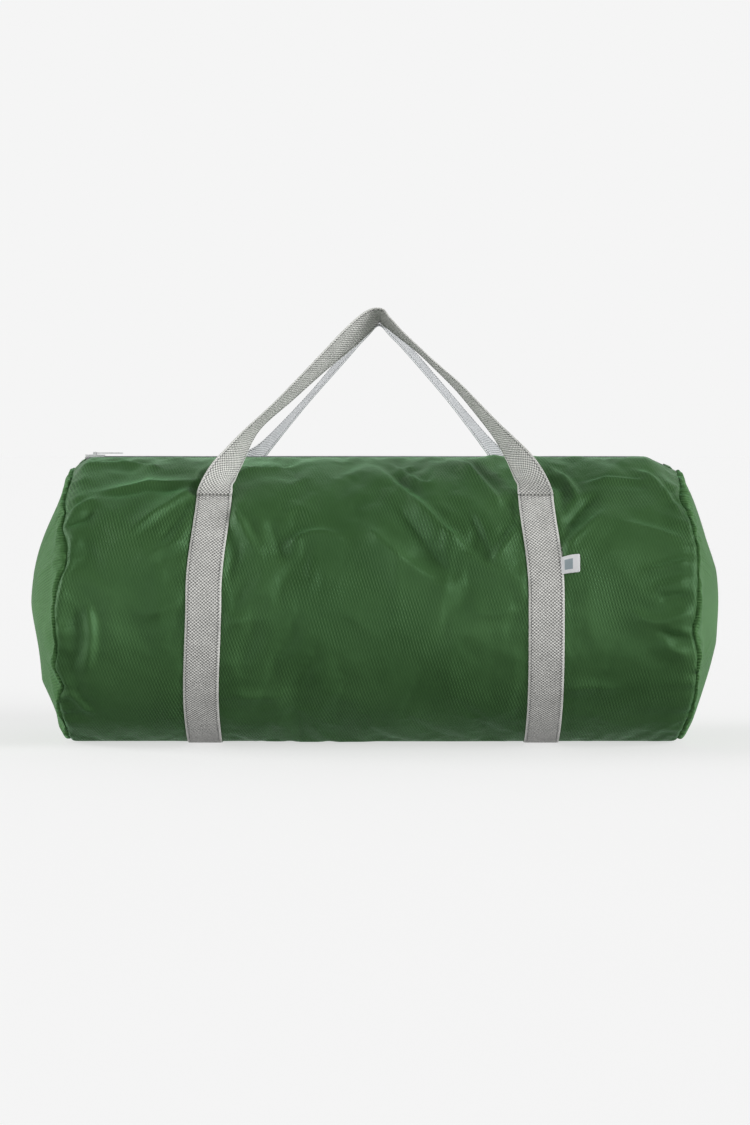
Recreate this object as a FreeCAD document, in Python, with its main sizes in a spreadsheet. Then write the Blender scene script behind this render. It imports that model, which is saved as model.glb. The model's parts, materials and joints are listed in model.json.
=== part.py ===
"""Rope storage bag: a long zipped duffel with two webbing bands and two carry handles.

Frame: +X along the bag, -Y the front, +Z up, millimetres. The origin is on the floor,
under the middle of the bag.

The bag's section is an oval, cut flat where it rests on the floor. Its upper front and
upper back quarters, the lips, tilt outward about the widest line of the oval when the
zipper is opened. Both ends of the bag stay closed, and there the zipper is fixed.
"""
import FreeCAD, Part
import math
import os
import re

import Sketcher

from FreeCAD import Placement, Rotation, Vector

doc = FreeCAD.newDocument("RopeStorageBag")

# ---------------------------------------------------------------- driving dimensions

DIMENSIONS = [
    ("bag_length", 1016, "overall length over the bulged ends"),
    ("barrel_length", 904, "length between the two rim seams"),
    ("half_depth", 225, "half of the section's depth"),
    ("half_height", 216, "half of the section's height before it is cut flat"),
    ("middle_height", 204, "height of the widest line of the section"),
    ("fabric", 1, "thickness of the coated nylon"),
    ("floor_gap", 2, "height of the fabric over the floor, beside the bands"),
    ("webbing_width", 50.8, "2 inch webbing"),
    ("webbing", 1.8, "thickness of the webbing"),
    ("layer_gap", 0.1, "clearance between sewn layers"),
    ("band_spacing", 480, "distance between the middles of the two bands"),
    ("lip_length", 590, "length of the part of the mouth that tilts"),
    ("hinge_gap", 1.5, "gap round each lip"),
    ("zip_opening", 18, "width between the two fabric edges at the zipper"),
    ("zip_length", 876, "length of the zipper chain"),
    ("tape_width", 22, "width of one zipper tape"),
    ("tape", 0.8, "thickness of the zipper tape"),
    ("chain_gap", 1.4, "gap between the two coils"),
    ("coil_width", 2.5, "width of one coil"),
    ("coil_height", 2.4, "height of the coil over its tape"),
    ("slider_length", 30, "length of the zipper slider"),
    ("slider_width", 12, "width of the zipper slider"),
    ("slider_start", -418, "place of the slider's middle when the bag is closed"),
    ("plate", 1.5, "thickness of the slider's two plates"),
    ("pull_length", 42, "length of the pull tab beyond its pin"),
    ("pull_width", 9, "width of the pull tab"),
    ("pull_plate", 1.6, "thickness of the pull tab"),
    ("pin_radius", 0.9, "radius of the pull's pin"),
    ("tack_angle", 48, "angle of the tacks on the oval, above its widest line"),
    ("handle_offset", 1.2, "height of the handle's fold line over the band"),
    ("peak_height", 640, "height of the raised handles"),
    ("peak_gap", 9, "distance of a raised handle's middle from the bag's middle plane"),
    ("folded_width", 27, "width of the webbing where it is folded double"),
    ("binding_width", 12, "width of the binding inside each rim seam"),
    ("label_width", 24, "width of the sewn label"),
    ("label_height", 25, "height of the sewn label"),
    ("label_level", 267, "height of the label's middle over the floor"),
    ("label_thickness", 0.7, "thickness of the sewn label"),
    ("stitch_length", 3.4, "length of one tack stitch"),
    ("stitch_width", 0.9, "width of one tack stitch"),
    ("stitch_height", 0.4, "height of a stitch over the webbing"),
]

sheet = doc.addObject("Spreadsheet::Sheet", "Dimensions")
for row, (alias, value, meaning) in enumerate(DIMENSIONS, start=1):
    sheet.set("A%d" % row, meaning)
    sheet.set("B%d" % row, str(value))
    sheet.setAlias("B%d" % row, alias)
doc.recompute()

ALIASES = [entry[0] for entry in DIMENSIONS]
ALIAS_WORD = re.compile(r"\b(%s)\b" % "|".join(ALIASES))
SPACE = 600                     # half size of a cutting block, larger than the bag
SIDES = {"front": -1, "back": 1}
ENDS = {"left": -1, "right": 1}


def dim(alias):
    """The value of one driving dimension."""
    return float(sheet.get(alias))


def ex(text):
    """An expression on the sheet, written with the bare aliases."""
    return ALIAS_WORD.sub(r"Dimensions.\1", text)


def bind(obj, **sizes):
    """Bind properties of an object to expressions; Base_x means Placement.Base.x."""
    for name, text in sizes.items():
        target = name
        if name.startswith("Base_"):
            target = "Placement.Base." + name[-1]
        obj.setExpression(target, ex(str(text)))
    return obj


# ---------------------------------------------------------------- building blocks

def block(name, low, high):
    """A box between two corners, each given as three expressions."""
    box = doc.addObject("Part::Box", name)
    spans = ["(%s) - (%s)" % (top, bottom) for bottom, top in zip(low, high)]
    bind(box, Length=spans[0], Width=spans[1], Height=spans[2])
    return bind(box, Base_x=low[0], Base_y=low[1], Base_z=low[2])


def common(name, first, second):
    shared = doc.addObject("Part::MultiCommon", name)
    shared.Shapes = [first, second]
    return shared


def cut(name, base, tool):
    rest = doc.addObject("Part::Cut", name)
    rest.Base = base
    rest.Tool = tool
    return rest


def fuse(name, pieces):
    whole = doc.addObject("Part::MultiFuse", name)
    whole.Shapes = pieces
    return whole


def group(name, pieces):
    """Separate solids that share one node."""
    compound = doc.addObject("Part::Compound", name)
    compound.Links = pieces
    return compound


def oval_bar(name, grow, bottom, start, end):
    """A solid bar with the bag's section, grown by `grow` and cut flat at `bottom`."""
    oval = doc.addObject("Part::Ellipse", name + "_oval")
    oval.Placement = Placement(Vector(0, 0, 0), Rotation(Vector(1, 1, 1), 120))
    bind(oval, MajorRadius="half_depth + (%s)" % grow, MinorRadius="half_height + (%s)" % grow)
    bind(oval, Base_x=start, Base_z="middle_height")
    bar = doc.addObject("Part::Extrusion", name + "_bar")
    bar.Base = oval
    bar.DirMode = "Custom"
    bar.Dir = Vector(1, 0, 0)
    bar.Solid = True
    bind(bar, LengthFwd="(%s) - (%s)" % (end, start))
    above = block(name + "_above", (-SPACE, -SPACE, bottom), (SPACE, SPACE, SPACE))
    return common(name, bar, above)


def oval_shell(name, inner, outer, bottom, start, end):
    """A hollow layer of the section, from offset `inner` to `outer` off the fabric's face."""
    outside = oval_bar(name + "_outside", outer, bottom, start, end)
    thickness = "(%s) + (%s) - (%s)" % (bottom, outer, inner)
    over = ("(%s) - 1" % start, "(%s) + 1" % end)
    inside = oval_bar(name + "_inside", inner, thickness, over[0], over[1])
    return cut(name, outside, inside)


def section_point(angle, offset):
    """Y (for the front) and Z of a point on the oval, moved outward by `offset`."""
    turn = math.radians(angle)
    normal = Vector(0, -math.cos(turn) / dim("half_depth"), math.sin(turn) / dim("half_height"))
    normal.normalize()
    y = -dim("half_depth") * math.cos(turn)
    z = dim("middle_height") + dim("half_height") * math.sin(turn)
    return Vector(0, y, z) + normal * offset, normal


def mirrored(point, side):
    """The front's point on the chosen side of the bag."""
    return Vector(point.x, -side * point.y, point.z)


# ---------------------------------------------------------------- bag fabric

def fabric_tube(name, start, end):
    return oval_shell(name, "-fabric", "0", "floor_gap", start, end)


def make_body_panel():
    """The wrap-round panel: the lower half of the barrel and both closed ends of the top."""
    tube = fabric_tube("body_tube", "-barrel_length / 2", "barrel_length / 2")
    mouth = block(
        "mouth_window",
        ("-lip_length / 2 - hinge_gap", -SPACE, "middle_height - hinge_gap / 2"),
        ("lip_length / 2 + hinge_gap", SPACE, SPACE))
    slot = block(
        "zipper_slot",
        ("-zip_length / 2", "-zip_opening / 2", "middle_height"),
        ("zip_length / 2", "zip_opening / 2", SPACE))
    return cut("body_panel", cut("body_with_mouth", tube, mouth), slot)


def lip_block(name, side, inner_edge, lip_end="lip_length / 2"):
    """The space that holds one lip, from its hinge line to the zipper."""
    low = ["-(%s)" % lip_end, -SPACE, "middle_height + hinge_gap / 2"]
    high = [lip_end, "-(%s)" % inner_edge, SPACE]
    if side > 0:
        low[1] = inner_edge
        high[1] = SPACE
    return block(name, low, high)


def make_lip_panel(label, side):
    tube = fabric_tube(label + "_lip_tube", "-lip_length / 2", "lip_length / 2")
    return common(label + "_lip_panel", tube, lip_block(label + "_lip_space", side, "zip_opening / 2"))


def cap(name, end, inset):
    """One bulged end: the tip of an ellipsoid twice the size of the bag's section."""
    bulge = "(bag_length - barrel_length) / 2"
    radius = "(%s) / (1 - sqrt(0.75))" % bulge
    shape = doc.addObject("Part::Ellipsoid", name + "_ellipsoid")
    shape.Angle1 = -90
    bind(shape, Radius1="2 * half_height - (%s)" % inset, Radius2="%s - (%s)" % (radius, inset))
    bind(shape, Radius3="2 * half_depth - (%s)" % inset, Base_z="middle_height")
    bind(shape, Base_x="%d * (bag_length / 2 - (%s))" % (end, radius))
    rim = "barrel_length / 2"
    limits = (rim, SPACE) if end > 0 else (-SPACE, "-(%s)" % rim)
    space = block(
        name + "_space",
        (limits[0], -SPACE, "floor_gap + (%s)" % inset),
        (limits[1], SPACE, SPACE))
    return common(name, shape, space)


def make_end_panel(label, end):
    return cut(label + "_end_panel", cap(label + "_cap_outside", end, "0"),
               cap(label + "_cap_inside", end, "fabric"))


def make_rim_binding(label, end):
    """The tape that binds the raw edges inside a rim seam."""
    rim = "%d * barrel_length / 2" % end
    inner = "%d * (barrel_length / 2 - binding_width)" % end
    start, stop = (inner, rim) if end > 0 else (rim, inner)
    bottom = "floor_gap + fabric + layer_gap"
    face = "-fabric - layer_gap"
    return oval_shell(label + "_rim_binding", face + " - fabric", face, bottom, start, stop)


# ---------------------------------------------------------------- webbing

def band_shell(name, end):
    middle = "%d * band_spacing / 2" % end
    return oval_shell(
        name, "layer_gap", "layer_gap + webbing", "0",
        middle + " - webbing_width / 2", middle + " + webbing_width / 2")


def make_lower_band(label, end):
    """The webbing under the bag, from the front hinge line to the back one."""
    below = block(
        label + "_band_space",
        (-SPACE, -SPACE, "-1"), (SPACE, SPACE, "middle_height - hinge_gap / 2"))
    return common(label + "_band", band_shell(label + "_band_ring", end), below)


def make_upper_band(label, side, end_label, end):
    """The same webbing on a lip, from the hinge line up to the tack."""
    name = "%s_%s_band" % (label, end_label)
    edge = "half_depth * cos(tack_angle * 1 deg)"
    space = lip_block(name + "_space", side, edge)
    return common(name, band_shell(name + "_ring", end), space)


def tack_frame(side, depth):
    """A point on the outside of a band, `depth` down from the tack, and the face's normal."""
    arc = math.degrees(depth / dim("half_height"))
    offset = dim("layer_gap") + dim("webbing")
    point, normal = section_point(dim("tack_angle") - arc, offset)
    return mirrored(point, side), mirrored(normal, side)


def make_tack_stitching(label, side):
    """Two rows of bar tacks across each band, just under the handle."""
    stitches_per_row = 9
    row_depths = (5.0, 15.0)
    edge_margin = 3.0
    lift = 0.05
    pitch = (dim("webbing_width") - 2 * edge_margin) / (stitches_per_row - 1)
    stitches = []
    for end in ENDS.values():
        for row_number, depth in enumerate(row_depths):
            point, normal = tack_frame(side, depth)
            turn = Rotation(Vector(0, 0, 1), normal)
            for count in range(stitches_per_row):
                name = "%s_stitch_%d_%d_%d" % (label, end, row_number, count)
                stitch = doc.addObject("Part::Box", name)
                bind(stitch, Length="stitch_width", Width="stitch_length", Height="stitch_height")
                across = (count - (stitches_per_row - 1) / 2) * pitch
                centre = Vector(end * dim("band_spacing") / 2 + across, point.y, point.z)
                corner = Vector(-dim("stitch_width") / 2, -dim("stitch_length") / 2, lift)
                stitch.Placement = Placement(centre + turn.multVec(corner), turn)
                stitches.append(stitch)
    return group(label + "_tack_stitching", stitches)


def web_section(centre, across, through, width, thickness):
    """A rectangle of webbing, as a closed wire."""
    corners = []
    for u, v in ((-1, -1), (1, -1), (1, 1), (-1, 1)):
        corners.append(centre + across * (u * width / 2) + through * (v * thickness / 2))
    return Part.makePolygon(corners + corners[:1])


def handle_fold(side):
    """The line that a handle folds about: just outside the band at the tack."""
    offset = dim("layer_gap") + dim("webbing") + dim("handle_offset")
    point, _ = section_point(dim("tack_angle"), offset)
    return mirrored(point, side)


def make_handle(label, side):
    """One handle: two twisted legs of webbing that meet, folded double, at the peak."""
    foot = handle_fold(side)
    peak = Vector(0, side * dim("peak_gap"), dim("peak_height") - dim("folded_width") / 2)
    up_plane = peak - foot
    rise = up_plane.Length
    up_plane.normalize()
    through_plane = Vector(1, 0, 0).cross(up_plane)
    spread = dim("band_spacing") / 2
    leg = Vector(-spread, 0, 0) + up_plane * rise
    leg_direction = Vector(leg)
    leg_direction.normalize()
    leg_across = through_plane.cross(leg_direction)
    width = dim("webbing_width")
    double = 2 * dim("webbing")
    twists = ((0.14, 25, 1.0), (0.35, 62, 1.0), (0.62, 50, 0.9), (0.84, 20, 0.7))

    sections = [web_section(foot + Vector(spread, 0, 0), Vector(1, 0, 0), through_plane,
                            width, dim("webbing"))]
    for fraction, degrees, narrowing in twists:
        twist = Rotation(leg_direction, degrees)
        sections.append(web_section(
            foot + Vector(spread, 0, 0) + leg * fraction,
            twist.multVec(leg_across * -1), twist.multVec(through_plane),
            width * narrowing, dim("webbing")))
    sections.append(web_section(peak, up_plane, through_plane, dim("folded_width"), double))

    right_leg = Part.makeLoft(sections, True, True)
    left_leg = right_leg.mirror(Vector(0, 0, 0), Vector(1, 0, 0))
    handle = doc.addObject("Part::Feature", label + "_handle")
    handle.Shape = right_leg.fuse(left_leg)
    handle.Placement = Placement()
    return handle


# ---------------------------------------------------------------- zipper

TAPE_TOP = "middle_height + half_height - fabric - layer_gap"
COIL_OUTSIDE = "chain_gap / 2 + coil_width"
CHAIN_TOP = TAPE_TOP + " + layer_gap + coil_height"
SLIDER_UNDER = TAPE_TOP + " - tape - 2.4"
SLIDER_OVER = CHAIN_TOP + " + 0.4"


def tape_shell(name, start, end):
    face = "-fabric - layer_gap"
    return oval_shell(name, face + " - tape", face, "floor_gap + 2 * fabric", start, end)


def side_block(name, side, inner, outer, x_span, z_span):
    """A box on one side of the zipper, from `inner` to `outer` off its middle line."""
    y_span = (inner, outer) if side > 0 else ("-(%s)" % outer, "-(%s)" % inner)
    return block(name, (x_span[0], y_span[0], z_span[0]), (x_span[1], y_span[1], z_span[1]))


def make_tape(name, side, x_span):
    shell = tape_shell(name + "_shell", x_span[0], x_span[1])
    space = side_block(name + "_space", side, "chain_gap / 2", "tape_width",
                       x_span, ("middle_height", SPACE))
    return common(name, shell, space)


def make_coil(name, side, x_span):
    return side_block(name, side, "chain_gap / 2", COIL_OUTSIDE, x_span,
                      (TAPE_TOP + " + layer_gap", CHAIN_TOP))


def fixed_span(end):
    inner = "lip_length / 2 + hinge_gap"
    outer = "zip_length / 2"
    if end > 0:
        return (inner, outer)
    return ("-(%s)" % outer, "-(%s)" % inner)


def make_zipper_end(label, end, maker, kind):
    """The stretch of both tapes or both coils that stays closed at one end of the bag."""
    sides = []
    for side_label, side in SIDES.items():
        sides.append(maker("%s_%s_%s_side" % (label, kind, side_label), side, fixed_span(end)))
    return group("%s_end_%s" % (label, kind), sides)


def make_zipper_stops():
    """The clips that end the chain: a pair at the closed end and one bar at the other."""
    stops = []
    over = ("%s + 0.1" % CHAIN_TOP, "%s + 1" % CHAIN_TOP)
    for label, side in SIDES.items():
        stops.append(side_block("closed_stop_" + label, side, "chain_gap / 2", COIL_OUTSIDE,
                                ("slider_start - slider_length / 2 - 4.5",
                                 "slider_start - slider_length / 2 - 0.5"), over))
    stops.append(block("open_stop",
                       ("zip_length / 2 - 6", "-(%s)" % COIL_OUTSIDE, over[0]),
                       ("zip_length / 2 - 2", COIL_OUTSIDE, over[1])))
    return group("zipper_stops", stops)


def make_zipper_end_tabs():
    """A small square of fabric over each end of the zipper."""
    tabs = []
    level = "middle_height + half_height + layer_gap"
    for label, end in ENDS.items():
        inner = "%d * (zip_length / 2 + 0.5)" % end
        outer = "%d * barrel_length / 2" % end
        x_span = (inner, outer) if end > 0 else (outer, inner)
        tabs.append(block("end_tab_" + label, (x_span[0], "-16", level),
                          (x_span[1], "16", level + " + fabric")))
    return group("zipper_end_tabs", tabs)


def make_slider_body():
    """Two plates joined by a post, with flanges that hold the coils and lugs for the pull."""
    back = "slider_start - slider_length / 2"
    front = "slider_start + slider_length / 2"
    top = SLIDER_OVER + " + plate"
    half = "slider_width / 2"
    plates = [
        block("slider_top_plate", (back, "-" + half, SLIDER_OVER), (front, half, top)),
        block("slider_bottom_plate", (back, "-" + half, SLIDER_UNDER),
              (front, half, SLIDER_UNDER + " + plate")),
        block("slider_post", (back, "-chain_gap / 2 + 0.3", SLIDER_UNDER),
              (back + " + 7", "chain_gap / 2 - 0.3", top)),
    ]
    for label, side in SIDES.items():
        plates.append(side_block("slider_flange_" + label, side, half + " - 1.3", half,
                                 (back, front), (TAPE_TOP + " + 0.6", SLIDER_OVER)))
    rounded = doc.addObject("Part::Fillet", "slider_rounded")
    rounded.Base = fuse("slider_plates", plates)
    doc.recompute()
    corner_radius = 3.0
    upright = []
    for number, edge in enumerate(rounded.Base.Shape.Edges, start=1):
        ends = [vertex.Point for vertex in edge.Vertexes]
        if len(ends) != 2 or abs(ends[0].z - ends[1].z) < 0.5:
            continue
        is_corner = abs(abs(ends[0].y) - dim("slider_width") / 2) < 0.01
        if is_corner and abs(ends[0].x - ends[1].x) < 0.01:
            upright.append((number, corner_radius, corner_radius))
    rounded.Edges = upright
    lugs = []
    for label, side in SIDES.items():
        lug = side_block("slider_lug_" + label, side, "pull_width / 2 - 1.3", "pull_width / 2",
                         ("slider_start - 2.4", "slider_start + 2.4"), (top + " - 0.1", top + " + 4"))
        lugs.append(lug)
    bare = fuse("slider_bare", [rounded] + lugs)
    bore = pin_cylinder("slider_bore", "pin_radius + 0.02", "pull_width + 2")
    return cut("slider_body", bare, bore)


PIN_HEIGHT = SLIDER_OVER + " + plate + 2.3"


def pin_cylinder(name, radius, length):
    """A cylinder along Y about the pull's pin."""
    cylinder = doc.addObject("Part::Cylinder", name)
    cylinder.Placement = Placement(Vector(0, 0, 0), Rotation(Vector(1, 0, 0), -90))
    bind(cylinder, Radius=radius, Height=length, Base_x="slider_start")
    return bind(cylinder, Base_y="-(%s) / 2" % length, Base_z=PIN_HEIGHT)


def make_pull_tab():
    """A tapered metal tab with an eye round the pin and a hole near its free end."""
    eye_gap = 0.25
    eye_width = "pull_width - 3.2"
    eye = pin_cylinder("pull_eye", "pin_radius + %g + 0.8" % eye_gap, eye_width)
    level = PIN_HEIGHT + " - pull_plate / 2"
    neck = block("pull_neck", ("slider_start", "-(%s) / 2" % eye_width, level),
                 ("slider_start + 6", "(%s) / 2" % eye_width, level + " + pull_plate"))
    blade = block("pull_blade", ("slider_start + 5", "-pull_width / 2", level),
                  ("slider_start + pull_length - pull_width / 2", "pull_width / 2",
                   level + " + pull_plate"))
    tip = doc.addObject("Part::Cylinder", "pull_tip")
    bind(tip, Radius="pull_width / 2", Height="pull_plate", Base_z=level)
    bind(tip, Base_x="slider_start + pull_length - pull_width / 2")
    hole = doc.addObject("Part::Cylinder", "pull_hole")
    bind(hole, Radius="pull_width / 4", Height="pull_plate + 2", Base_z=level + " - 1")
    bind(hole, Base_x="slider_start + pull_length - pull_width / 2")
    bore = pin_cylinder("pull_bore", "pin_radius + %g" % eye_gap, "pull_width")
    solid = fuse("pull_solid", [eye, neck, blade, tip])
    return cut("pull_tab", cut("pull_with_hole", solid, hole), bore)


# ---------------------------------------------------------------- label

def make_label():
    """A woven tab sewn beside the right band, lying on the front lip."""
    body = doc.addObject("PartDesign::Body", "side_label")
    planes = {plane.Role: plane for plane in body.Origin.OriginFeatures}
    sketch = body.newObject("Sketcher::SketchObject", "label_outline")
    sketch.AttachmentSupport = (planes["XY_Plane"], [""])
    sketch.MapMode = "FlatFace"
    width = dim("label_width")
    height = dim("label_height")
    corners = [Vector(0, 0, 0), Vector(width, 0, 0), Vector(width, height, 0), Vector(0, height, 0)]
    for number in range(4):
        following = corners[(number + 1) % 4]
        sketch.addGeometry(Part.LineSegment(corners[number], following), False)
    for number in range(4):
        sketch.addConstraint(Sketcher.Constraint("Coincident", number, 2, (number + 1) % 4, 1))
    for number in (0, 2):
        sketch.addConstraint(Sketcher.Constraint("Horizontal", number))
        sketch.addConstraint(Sketcher.Constraint("Vertical", number + 1))
    sketch.addConstraint(Sketcher.Constraint("Coincident", 0, 1, -1, 1))
    across = sketch.addConstraint(Sketcher.Constraint("DistanceX", 0, 1, 0, 2, width))
    upward = sketch.addConstraint(Sketcher.Constraint("DistanceY", 1, 1, 1, 2, height))
    sketch.setExpression("Constraints[%d]" % across, ex("label_width"))
    sketch.setExpression("Constraints[%d]" % upward, ex("label_height"))
    pad = body.newObject("PartDesign::Pad", "label_pad")
    pad.Profile = sketch
    pad.setExpression("Length", ex("label_thickness"))
    body.Tip = pad

    rise = (dim("label_level") - dim("middle_height")) / dim("half_height")
    clearance = 0.35
    foot, normal = section_point(math.degrees(math.asin(rise)), clearance)
    up = normal.cross(Vector(1, 0, 0))
    facing = Rotation(Vector(1, 0, 0), up, normal, "ZXY")
    edge = (dim("band_spacing") + dim("webbing_width")) / 2 + clearance
    corner = Vector(edge, foot.y, foot.z) - facing.multVec(Vector(0, height / 2, 0))
    body.Placement = Placement(corner, facing)
    return body


# ---------------------------------------------------------------- assembly

def make_parts():
    parts = [make_body_panel(), make_zipper_stops(), make_zipper_end_tabs()]
    for label, end in ENDS.items():
        parts.append(make_end_panel(label, end))
        parts.append(make_rim_binding(label, end))
        parts.append(make_lower_band(label, end))
        parts.append(make_zipper_end(label, end, make_tape, "tape"))
        parts.append(make_zipper_end(label, end, make_coil, "coil"))
    lip_span = ("-lip_length / 2", "lip_length / 2")
    for label, side in SIDES.items():
        parts.append(make_lip_panel(label, side))
        parts.append(make_tape(label + "_zipper_tape", side, lip_span))
        parts.append(make_coil(label + "_zipper_coil", side, lip_span))
        for end_label, end in ENDS.items():
            parts.append(make_upper_band(label, side, end_label, end))
        parts.append(make_tack_stitching(label, side))
        parts.append(make_handle(label, side))
    parts.append(make_slider_body())
    parts.append(pin_cylinder("pull_pin", "pin_radius", "pull_width + 0.6"))
    parts.append(make_pull_tab())
    parts.append(make_label())
    return parts


def check(parts):
    """Stop before anything is written if the document or a shape has failed."""
    for obj in doc.Objects:
        if "Invalid" in obj.State or "Error" in obj.State:
            raise RuntimeError("%s has failed: %s" % (obj.Label, obj.State))
    for part in parts:
        if part.Shape.isNull() or not part.Shape.isValid():
            raise RuntimeError("%s has no valid shape" % part.Label)
        if not part.Shape.Solids:
            raise RuntimeError("%s has no solid" % part.Label)


PARTS = make_parts()
doc.recompute()
check(PARTS)
os.makedirs("parts", exist_ok=True)
for part in PARTS:
    part.Shape.exportStep("parts/%s.step" % part.Label)

fold = handle_fold(-1)
print("handle fold line: y %.2f z %.2f" % (fold.y, fold.z))
print("%d parts written" % len(PARTS))
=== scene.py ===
"""Rope storage bag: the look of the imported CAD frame.

Metres, +X along the bag, -Y its front, +Z up, the floor at zero. The fabric is one sheet
on a grid: columns run along the bag, rows run from the zipper round to the bottom.
"""
import json
import math

import bpy
import numpy as np
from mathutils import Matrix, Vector


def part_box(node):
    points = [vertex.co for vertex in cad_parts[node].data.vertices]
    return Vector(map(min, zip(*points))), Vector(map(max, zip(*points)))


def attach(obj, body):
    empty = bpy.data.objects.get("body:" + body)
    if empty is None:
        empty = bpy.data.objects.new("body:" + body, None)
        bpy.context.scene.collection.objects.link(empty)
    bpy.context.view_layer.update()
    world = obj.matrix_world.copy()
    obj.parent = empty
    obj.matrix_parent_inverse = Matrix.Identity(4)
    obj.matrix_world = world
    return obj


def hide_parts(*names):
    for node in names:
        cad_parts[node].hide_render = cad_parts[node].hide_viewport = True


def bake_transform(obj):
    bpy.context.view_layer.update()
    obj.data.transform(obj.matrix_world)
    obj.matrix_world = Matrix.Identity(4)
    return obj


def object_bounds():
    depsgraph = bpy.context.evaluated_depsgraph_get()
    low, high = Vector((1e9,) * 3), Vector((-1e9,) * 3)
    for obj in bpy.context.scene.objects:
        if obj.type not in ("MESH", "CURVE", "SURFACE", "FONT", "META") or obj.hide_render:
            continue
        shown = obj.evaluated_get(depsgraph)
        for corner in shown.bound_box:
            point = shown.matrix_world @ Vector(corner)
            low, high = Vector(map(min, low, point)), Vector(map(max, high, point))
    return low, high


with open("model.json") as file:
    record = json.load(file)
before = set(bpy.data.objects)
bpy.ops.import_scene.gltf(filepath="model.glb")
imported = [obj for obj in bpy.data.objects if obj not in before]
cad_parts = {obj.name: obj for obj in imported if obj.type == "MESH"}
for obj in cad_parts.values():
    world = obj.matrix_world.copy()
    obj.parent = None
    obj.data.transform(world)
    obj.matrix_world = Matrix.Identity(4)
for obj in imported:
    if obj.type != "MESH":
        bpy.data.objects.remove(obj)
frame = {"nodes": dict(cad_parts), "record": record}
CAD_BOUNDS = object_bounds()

# ------------ places from the frame

JOINTS = {joint["name"]: joint for joint in frame["record"]["behaviour"]["joints"]}
PANEL_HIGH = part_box("body_panel")[1]
HALF_DEPTH = PANEL_HIGH[1]
TOP = PANEL_HIGH[2]
RIM = PANEL_HIGH[0]
MIDDLE = JOINTS["front_lip_tilt"]["pos_m"][2]
HALF_HEIGHT = TOP - MIDDLE
BULGE = CAD_BOUNDS[1][0] - RIM
FOLD = JOINTS["front_handle_swing"]["pos_m"]
BAND_LOW, BAND_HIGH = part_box("right_band")
BAND_X = (BAND_LOW[0] + BAND_HIGH[0]) / 2
WEB_WIDTH = BAND_HIGH[0] - BAND_LOW[0]
WEB = 0.0017                    # thickness of the webbing
SOLE = 0.0022                   # height of the fabric where it lies on the floor
LOWEST = 0.0008                 # and the least height of any wrinkle there
ZIP_EDGE = 0.0085               # distance of each folded fabric edge from the middle
HINGE_LOW = MIDDLE - 0.035      # fabric under this height stays with the bag
HINGE_HIGH = MIDDLE + 0.05      # and above this one it follows its lip
TAU = 2 * math.pi
SIDES = ((-1, "front"), (1, "back"))    # side and end are these signs throughout
ENDS = ((-1, "left"), (1, "right"))

# ------------ small helpers


def smooth(value, low, high):
    """A smooth step from 0 at low to 1 at high."""
    t = np.clip((np.asarray(value, float) - low) / (high - low), 0, 1)
    return t * t * (3 - 2 * t)


def bell(value, middle, width):
    return np.exp(-((np.asarray(value, float) - middle) / width) ** 2)


def unit(vectors):
    vectors = np.asarray(vectors, float)
    length = np.linalg.norm(vectors, axis=-1, keepdims=True)
    return vectors / np.maximum(length, 1e-9)


def ripple(position, seed, waves, strengths):
    """A seeded uneven wave along a seam, roughly between -1 and 1."""
    generator = np.random.default_rng(seed)
    total = np.zeros_like(np.asarray(position, float))
    for wave, strength in zip(waves, strengths):
        phase = generator.uniform(0, TAU, 2)
        swing = 1 + 0.5 * np.sin(TAU * position / (wave * 4.3) + phase[1])
        total = total + strength * swing * np.sin(TAU * position / wave + phase[0])
    return total / sum(strengths)


def soft_noise(x, s, seed, size, count=10):
    """A seeded smooth two-way noise with features of about the given size."""
    generator = np.random.default_rng(seed)
    total = np.zeros_like(np.asarray(x, float) + np.asarray(s, float))
    for _ in range(count):
        angle = generator.uniform(0, TAU)
        wave = size * generator.uniform(0.7, 1.6)
        phase = generator.uniform(0, TAU)
        total = total + np.sin(TAU * (x * math.cos(angle) + s * math.sin(angle)) / wave + phase)
    return total / math.sqrt(count)


def add_object(name, data):
    obj = bpy.data.objects.new(name, data)
    bpy.context.scene.collection.objects.link(obj)
    return obj


def add_mesh(name, points, faces, uvs=None, material=None):
    """A smooth mesh object; uvs is one pair per point."""
    mesh = bpy.data.meshes.new(name)
    mesh.from_pydata([tuple(p) for p in points], [], [tuple(int(i) for i in f) for f in faces])
    if uvs is not None:
        layer = mesh.uv_layers.new(name="UVMap")
        order = np.empty(len(mesh.loops), np.int32)
        mesh.loops.foreach_get("vertex_index", order)
        layer.data.foreach_set("uv", np.asarray(uvs, np.float32)[order].ravel())
    mesh.polygons.foreach_set("use_smooth", [True] * len(mesh.polygons))
    if material is not None:
        mesh.materials.append(material)
    return add_object(name, mesh)


def grid_faces(rows, columns, wrap=False, start=0):
    faces = []
    last = columns if wrap else columns - 1
    for r in range(rows - 1):
        for c in range(last):
            d = (c + 1) % columns
            a = start + r * columns
            b = a + columns
            faces.append((a + c, b + c, b + d, a + d))
    return faces


def tube_faces(rings, sides, start=0):
    """Faces of a tube, ring after ring, closed at both ends."""
    faces = grid_faces(rings, sides, wrap=True, start=start)
    last = start + (rings - 1) * sides
    faces.append(tuple(range(start, start + sides)))
    faces.append(tuple(range(last, last + sides))[::-1])
    return faces


def add_sheet(name, rows, uvs, material, flip=False):
    """A mesh from rows of points; uvs is two arrays that broadcast to the grid."""
    faces = grid_faces(*rows.shape[:2])
    if flip:
        faces = [face[::-1] for face in faces]
    return add_mesh(name, rows.reshape(-1, 3), faces, on_grid(*uvs).reshape(-1, 2), material)


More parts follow.
